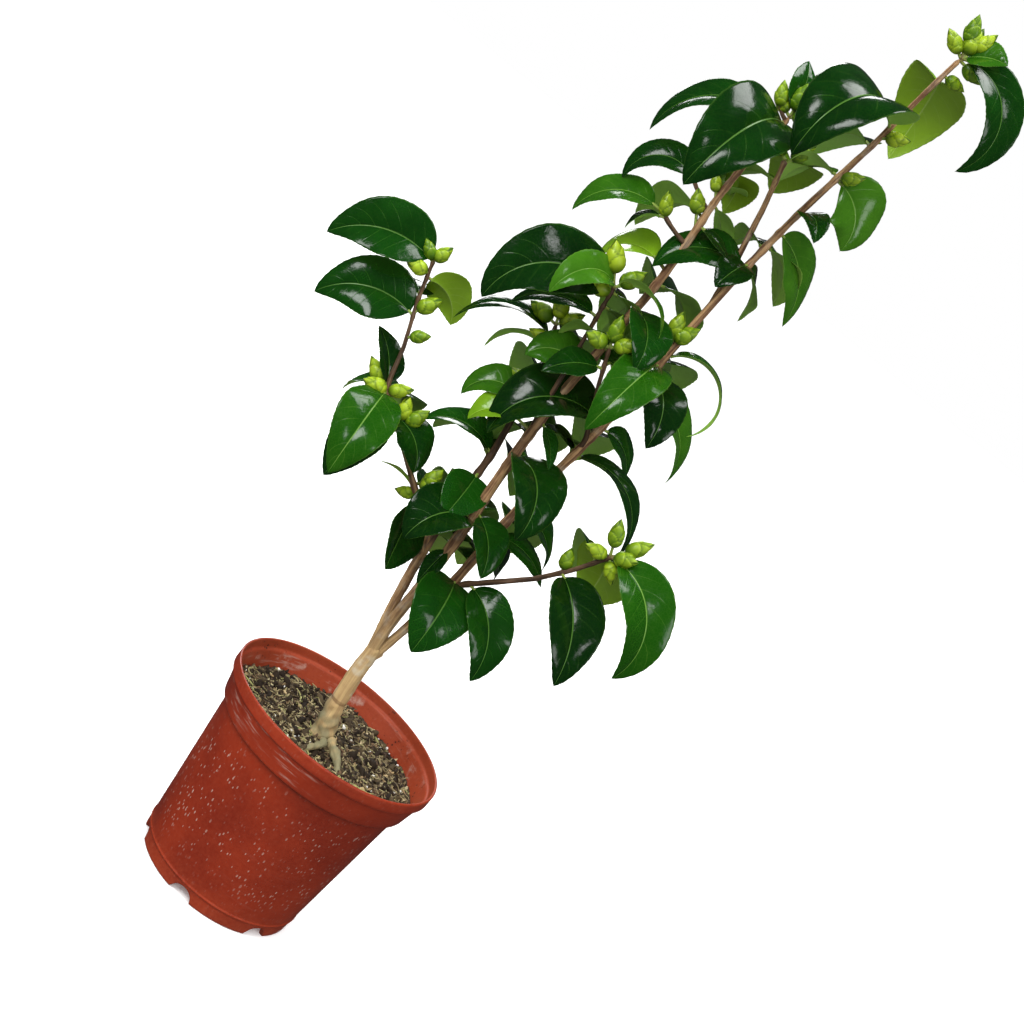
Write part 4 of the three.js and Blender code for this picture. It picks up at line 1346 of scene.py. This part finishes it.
def earth_finish():
    """Near-black peat with brown and olive patches."""
    material, wire, shader = new_finish("compost")
    place = wire.place()
    coarse, fine = place.noise(150.0, 6.0, 0.7), place.noise(900.0, 4.0)
    earth = (coarse * 1.1 + fine * 0.3 - 0.2).step(0.2, 0.8).mix(EARTH_DARK, EARTH)
    olive = place.noise(60.0, 4.0).step(0.55, 0.75) * fine
    set_shader(shader, {
        "Base Color": olive.mix(earth, EARTH_OLIVE),
        "Roughness": 0.8 + fine * 0.15,
        "Normal": wire.bump(coarse + fine * 0.5, 0.9, 1.2 * MM),
    })
    return material


skin_piece(
    "compost", soil_points, (1, SOIL_SIDE_ROWS + SOIL_TOP_ROWS, SOIL_COLUMNS), 1, earth_finish(), {},
    ("soil",),
)

# %% [markdown]
# ## Lumps, crumbs, chips and perlite
# Each is a small rough solid, some flat, some long, and no two lie the same way. Particles would scatter
# them, but an exported model loses particles. So one small ball is squeezed, roughened and turned
# thousands of times as one array, and every kind is joined into a piece of its own.

# %% Small rough solids


def round_shape(levels):
    """Points and faces of a small ball, to be squeezed and roughened."""
    ball = bmesh.new()
    bmesh.ops.create_icosphere(ball, subdivisions=levels, radius=1)
    points = np.array([vertex.co for vertex in ball.verts])
    faces = np.array([[vertex.index for vertex in face.verts] for face in ball.faces])
    ball.free()
    return points, faces


def face_cells(count):
    """Map corners that give every triangle its own half of a cell."""
    lanes = int(np.ceil(np.sqrt(count / 2)))
    number = np.arange(count)
    cell = np.stack([number // 2 % lanes, number // 2 // lanes], -1)[:, None]
    first = np.array([(0.08, 0.08), (0.80, 0.08), (0.08, 0.80)])
    shape = np.where((number % 2 == 0)[:, None, None], first, 1 - first)
    return [((cell + shape) / lanes).reshape(-1, 2)]


def scattered(count, levels, sizes, rough, seed, sink, centres=None, spread=0.0):
    """Many roughened balls on the compost: turn * (size * (1 + rough * noise) * ball) + place.

    They lie anywhere on it, or round centres (mm) with a normal spread (m). Each one's middle is higher
    than the top by sink times its thinnest half size.
    """
    draw = np.random.default_rng(seed)
    ball, faces = round_shape(levels)
    reach = (edge - 1.7 * sizes[0] * MM) * np.sqrt(draw.uniform(0, 1, count))
    angle = draw.uniform(0, FULL_TURN, count)
    x, y = reach * np.cos(angle), reach * np.sin(angle)
    if centres is not None:
        pick = draw.integers(0, len(centres), count)
        x = np.array(centres)[pick, 0] * MM + draw.normal(0, spread, count)
        y = np.array(centres)[pick, 1] * MM + draw.normal(0, spread, count)
        shrink = np.minimum(1, edge * 0.97 / np.maximum(np.hypot(x, y), MM))
        x, y = x * shrink, y * shrink
    turns = np.linalg.qr(draw.normal(size=(count, 3, 3)))[0]
    turns = turns * np.sign(np.linalg.det(turns))[:, None, None]
    size = np.clip(draw.lognormal(0, 0.35, (count, 1)), 0.4, 1.4) * draw.uniform(0.75, 1.2, (count, 3))
    size = size * np.array(sizes) * MM
    bumps = 1 + rough * draw.normal(size=(count, len(ball), 1))
    shape = np.einsum("nij,nkj->nki", turns, ball[None] * bumps * size[:, None])
    depth = size.min(1) * sink
    shape = shape + np.stack([x, y, soil_top(x, y) + depth], -1)[:, None]
    tone = np.repeat(draw.uniform(0, 1, count), len(ball))
    shift = np.arange(count)[:, None, None] * len(ball)
    return shape.reshape(-1, 3), (faces[None] + shift).reshape(-1, 3), tone


print("one small ball:", [len(part) for part in round_shape(1)], "points and triangles")

# %% Crumb finish
# The colours of each kind, with the place of each on a ramp from 0 to 1.
COLOURS = {
    "clods": [(0.0, EARTH_DARK), (0.6, (0.024, 0.016, 0.009)), (1.0, (0.085, 0.06, 0.03))],
    "crumbs": [
        (0.0, EARTH_DARK), (0.5, (0.04, 0.027, 0.016)), (0.72, (0.12, 0.085, 0.05)),
        (0.88, (0.27, 0.215, 0.11)), (0.95, (0.44, 0.38, 0.23)), (1.0, (0.17, 0.2, 0.05)),
    ],
    "bark_chips": [
        (0.0, (0.05, 0.03, 0.018)), (0.5, (0.16, 0.095, 0.05)), (0.85, (0.4, 0.28, 0.13)),
        (1.0, (0.52, 0.42, 0.25)),
    ],
    "perlite": [(0.0, (0.42, 0.38, 0.3)), (0.4, (0.72, 0.7, 0.64)), (1.0, (0.86, 0.85, 0.82))],
    "peat_fibres": [
        (0.0, (0.07, 0.045, 0.022)), (0.4, (0.22, 0.175, 0.085)), (0.8, (0.4, 0.33, 0.17)),
        (1.0, (0.27, 0.28, 0.09)),
    ],
}


def crumb_finish(name, roughness):
    """One plain colour to a crumb, picked from a ramp by its own number, with fine mottling."""
    material, wire, shader = new_finish(name + "_finish")
    place = wire.place()
    fine = place.noise(1100.0, 3.0)
    tone = wire.attribute("tone") + (fine - 0.5) * 0.12
    set_shader(shader, {
        "Base Color": wire.node("ValToRGB", {"stops": COLOURS[name]}, {"Fac": tone}),
        "Roughness": roughness,
        "Normal": wire.bump(fine, 0.6, 0.5 * MM),
    })
    return material


print("colours for", list(COLOURS))

# %% Lumps, crumbs, chips and perlite
# The middles of the groups of perlite, in mm.
PERLITE_CENTRES = [
    (-40, -30), (-70, -8), (22, -52), (-20, -62), (52, -30), (10, 40), (-50, 40), (66, 10), (-8, -38),
    (38, 58),
]
# Count, subdivisions, half sizes in mm, roughness of the shape, seed, sink, centres, spread, matt finish.
LITTER = {
    "clods": (520, 2, (3.9, 2.2, 1.7), 0.15, 50, 0.12, None, 0, 0.92),
    "crumbs": (3600, 1, (1.7, 1.1, 0.8), 0.2, 51, 0.5, None, 0, 0.9),
    "bark_chips": (620, 1, (3.1, 1.1, 0.55), 0.12, 52, 0.7, None, 0, 0.8),
    "perlite": (130, 2, (1.15, 1.0, 0.9), 0.09, 53, 0.5, PERLITE_CENTRES, 9 * MM, 0.85),
}
for name, (*row, matt) in LITTER.items():
    points, faces, tone = scattered(*row)
    new_piece(name, points, [faces], face_cells(len(faces)), crumb_finish(name, matt), {"tone": tone})

# %% [markdown]
# ## Fibres
# Pale peat fibres lie criss-cross on the top, each a little curled. Hair curves would be lost in an export
# and have no thickness. They are thin tubes along arcs, by the same tube formula as the stems.

# %% Fibres
FIBRES, FIBRE_ROWS, FIBRE_COLUMNS, FIBRE_SEED = 900, 7, 5, 61
FIBRE_HEIGHT = 1.5 * MM    # above the compost
draw = np.random.default_rng(FIBRE_SEED)
reach = edge * 0.93 * np.sqrt(draw.uniform(0, 1, FIBRES))
angle, way = draw.uniform(0, FULL_TURN, FIBRES), draw.uniform(0, FULL_TURN, FIBRES)
long = MM * draw.lognormal(2.1, 0.45, FIBRES)
bend = draw.normal(0, 1.1, FIBRES)[:, None]
share = np.linspace(-0.5, 0.5, FIBRE_ROWS)[None]
line_x = (reach * np.cos(angle))[:, None] + long[:, None] * share * np.cos(way[:, None] + bend * share)
line_y = (reach * np.sin(angle))[:, None] + long[:, None] * share * np.sin(way[:, None] + bend * share)
shrink = np.minimum(1, edge * 0.985 / np.hypot(line_x, line_y))
line_x, line_y = line_x * shrink, line_y * shrink
tilt = draw.uniform(-0.6 * MM, 1.6 * MM, (FIBRES, 1)) * (share + 0.5)
lying = softened(soil_top(line_x, line_y).T, 2).T + FIBRE_HEIGHT + tilt
fibre_lines = np.stack([line_x, line_y, lying], -1)
fibre_radii = MM * np.clip(draw.lognormal(-0.85, 0.4, (FIBRES, 1)), 0.18, 1.1) * (1 - 0.5 * np.abs(share))
fibre_tones = draw.uniform(0, 1, (FIBRES, 1, 1, 1))
fibre_rings = tube(fibre_lines, fibre_radii, FIBRE_COLUMNS)
fibre_rings = np.concatenate([fibre_rings, np.broadcast_to(fibre_tones, (*fibre_rings.shape[:3], 1))], -1)
fibre_ends = [np.concatenate([fibre_lines[:, i], fibre_tones[:, 0, 0]], 1) for i in (0, -1)]
fibre_points = with_ends(fibre_rings, *fibre_ends)
skin_piece(
    "peat_fibres", fibre_points, (FIBRES, FIBRE_ROWS, FIBRE_COLUMNS), 20,
    crumb_finish("peat_fibres", 0.8), {"tone": 3},
)

# %% [markdown]
# ## Floor, light and camera
# The shrub is shown on a plain white floor in soft light. Broad lamps give the leaves the long pale
# gleams that show how glossy they are; one bare bulb would give hard dots. Each lamp is made twice: a
# large one that only lights, and a smaller one that only shows in gleams. The camera looks slightly down
# on the plant and is rolled, so that the shrub leans across the view.

# %% Floor
FLOOR_REACH, FLOOR_WHITE, FLOOR_GLOW = 9.0, 0.93, 0.16
FLOOR_SIGNS = [(-1, -1), (1, -1), (1, 1), (-1, 1)]
floor_mesh = bpy.data.meshes.new("studio_floor")
floor_mesh.from_pydata([(x * FLOOR_REACH, y * FLOOR_REACH, 0) for x, y in FLOOR_SIGNS], [], [(0, 1, 2, 3)])
floor = bpy.data.objects.new("studio_floor", floor_mesh)
bpy.context.scene.collection.objects.link(floor)
floor_material, wire, shader = new_finish("white_floor")
set_shader(shader, {
    "Base Color": (FLOOR_WHITE, FLOOR_WHITE, FLOOR_WHITE, 1), "Roughness": 0.9, "Specular IOR Level": 0.1,
    "Emission Color": (1, 1, 1, 1), "Emission Strength": FLOOR_GLOW,
})
floor_mesh.materials.append(floor_material)
floor.visible_glossy = False
floor.visible_diffuse = False
print("floor:", 2 * FLOOR_REACH, "m across")

# %% Light
centre = (np.array(cad_box[0]) + np.array(cad_box[1])) / 2
# Lamp: place in metres, width, height, watts, and the share of its width and height seen in gleams.
LAMPS = {
    "window_left": ((-1.7, -1.6, 1.9), 1.2, 1.8, 52, 0.55),
    "window_right": ((2.0, -1.2, 1.4), 0.8, 1.5, 12, 0.6),
    "window_front": ((0.3, -2.7, 2.1), 1.6, 1.0, 30, 0.3),
    "skylight": ((0.2, 0.3, 2.6), 1.5, 1.5, 40, 0.6),
    "window_back": ((-0.9, 2.0, 1.4), 1.2, 1.2, 24, 0.8),
}
GLEAM_NEARER = 0.05        # a gleam's lamp stands this share of the way nearer, or the soft one hides it
SUN_STRENGTH, SUN_SPREAD, SUN_TILT = 1.9, 60.0, (24.0, -14.0)
SKY_SEEN, SKY_FELT, SKY_MIRRORED = 1.0, 0.55, 0.04


def add_light(name, kind, watts):
    """A lamp object with a light of that kind."""
    light = bpy.data.lights.new(name, kind)
    light.energy = watts
    lamp = bpy.data.objects.new(name, light)
    bpy.context.scene.collection.objects.link(lamp)
    return light, lamp


for name, (place, width, tall, watts, gleam) in LAMPS.items():
    toward = centre - np.array(place)
    tip = np.pi / 2 - np.arctan2(-toward[2], np.hypot(*toward[:2]))
    for part, size in (("soft", 1.0), ("gleam", gleam)):
        light, lamp = add_light(f"{name}_{part}", "AREA", watts * size ** 2)
        light.shape, light.size, light.size_y = "RECTANGLE", width * size, tall * size
        lamp.location = np.array(place) + toward * (GLEAM_NEARER if part == "gleam" else 0)
        lamp.rotation_euler = (tip, 0, np.arctan2(-toward[0], toward[1]))
        lamp.visible_glossy = part == "gleam"
        lamp.visible_diffuse = part == "soft"
sun, sun_lamp = add_light("soft_sun", "SUN", SUN_STRENGTH)
sun.angle = np.radians(SUN_SPREAD)
sun_lamp.rotation_euler = (*np.radians(SUN_TILT), 0)
sun_lamp.visible_glossy = False
world = bpy.data.worlds.new("white_room")
world.use_nodes = True
bpy.context.scene.world = world
room = Wire(world.node_tree)
seen = room.node("LightPath", {}, {}, "Is Camera Ray")
mirrored = room.node("LightPath", {}, {}, "Is Glossy Ray")
felt = mirrored * (SKY_MIRRORED - SKY_FELT) + SKY_FELT
background = world.node_tree.nodes["Background"]
background.inputs["Color"].default_value = (1, 1, 1, 1)
set_shader(background, {"Strength": seen * SKY_SEEN + (1 - seen) * felt})
bpy.context.scene.view_settings.view_transform = "Standard"
print("lamps:", 2 * len(LAMPS) + 1)

# %% Camera
CAMERA_PLACE = (0.0, -1.405, 0.746)
LOOK_DOWN, ROLL, YAW = 14.3, 39.0, -0.09
SENSOR, LENS = 36.0, 67.289    # mm
camera = bpy.data.cameras.new("camera")
camera.sensor_width = SENSOR
camera.lens = LENS
camera_stand = bpy.data.objects.new("camera", camera)
bpy.context.scene.collection.objects.link(camera_stand)
stand = Matrix.Translation(CAMERA_PLACE)
for degrees, axis in ((YAW, "Z"), (90 - LOOK_DOWN, "X"), (ROLL, "Z")):
    stand = stand @ Matrix.Rotation(np.radians(degrees), 4, axis)
camera_stand.matrix_world = stand
bpy.context.scene.camera = camera_stand
print("camera lens:", round(camera.lens, 2), "mm")
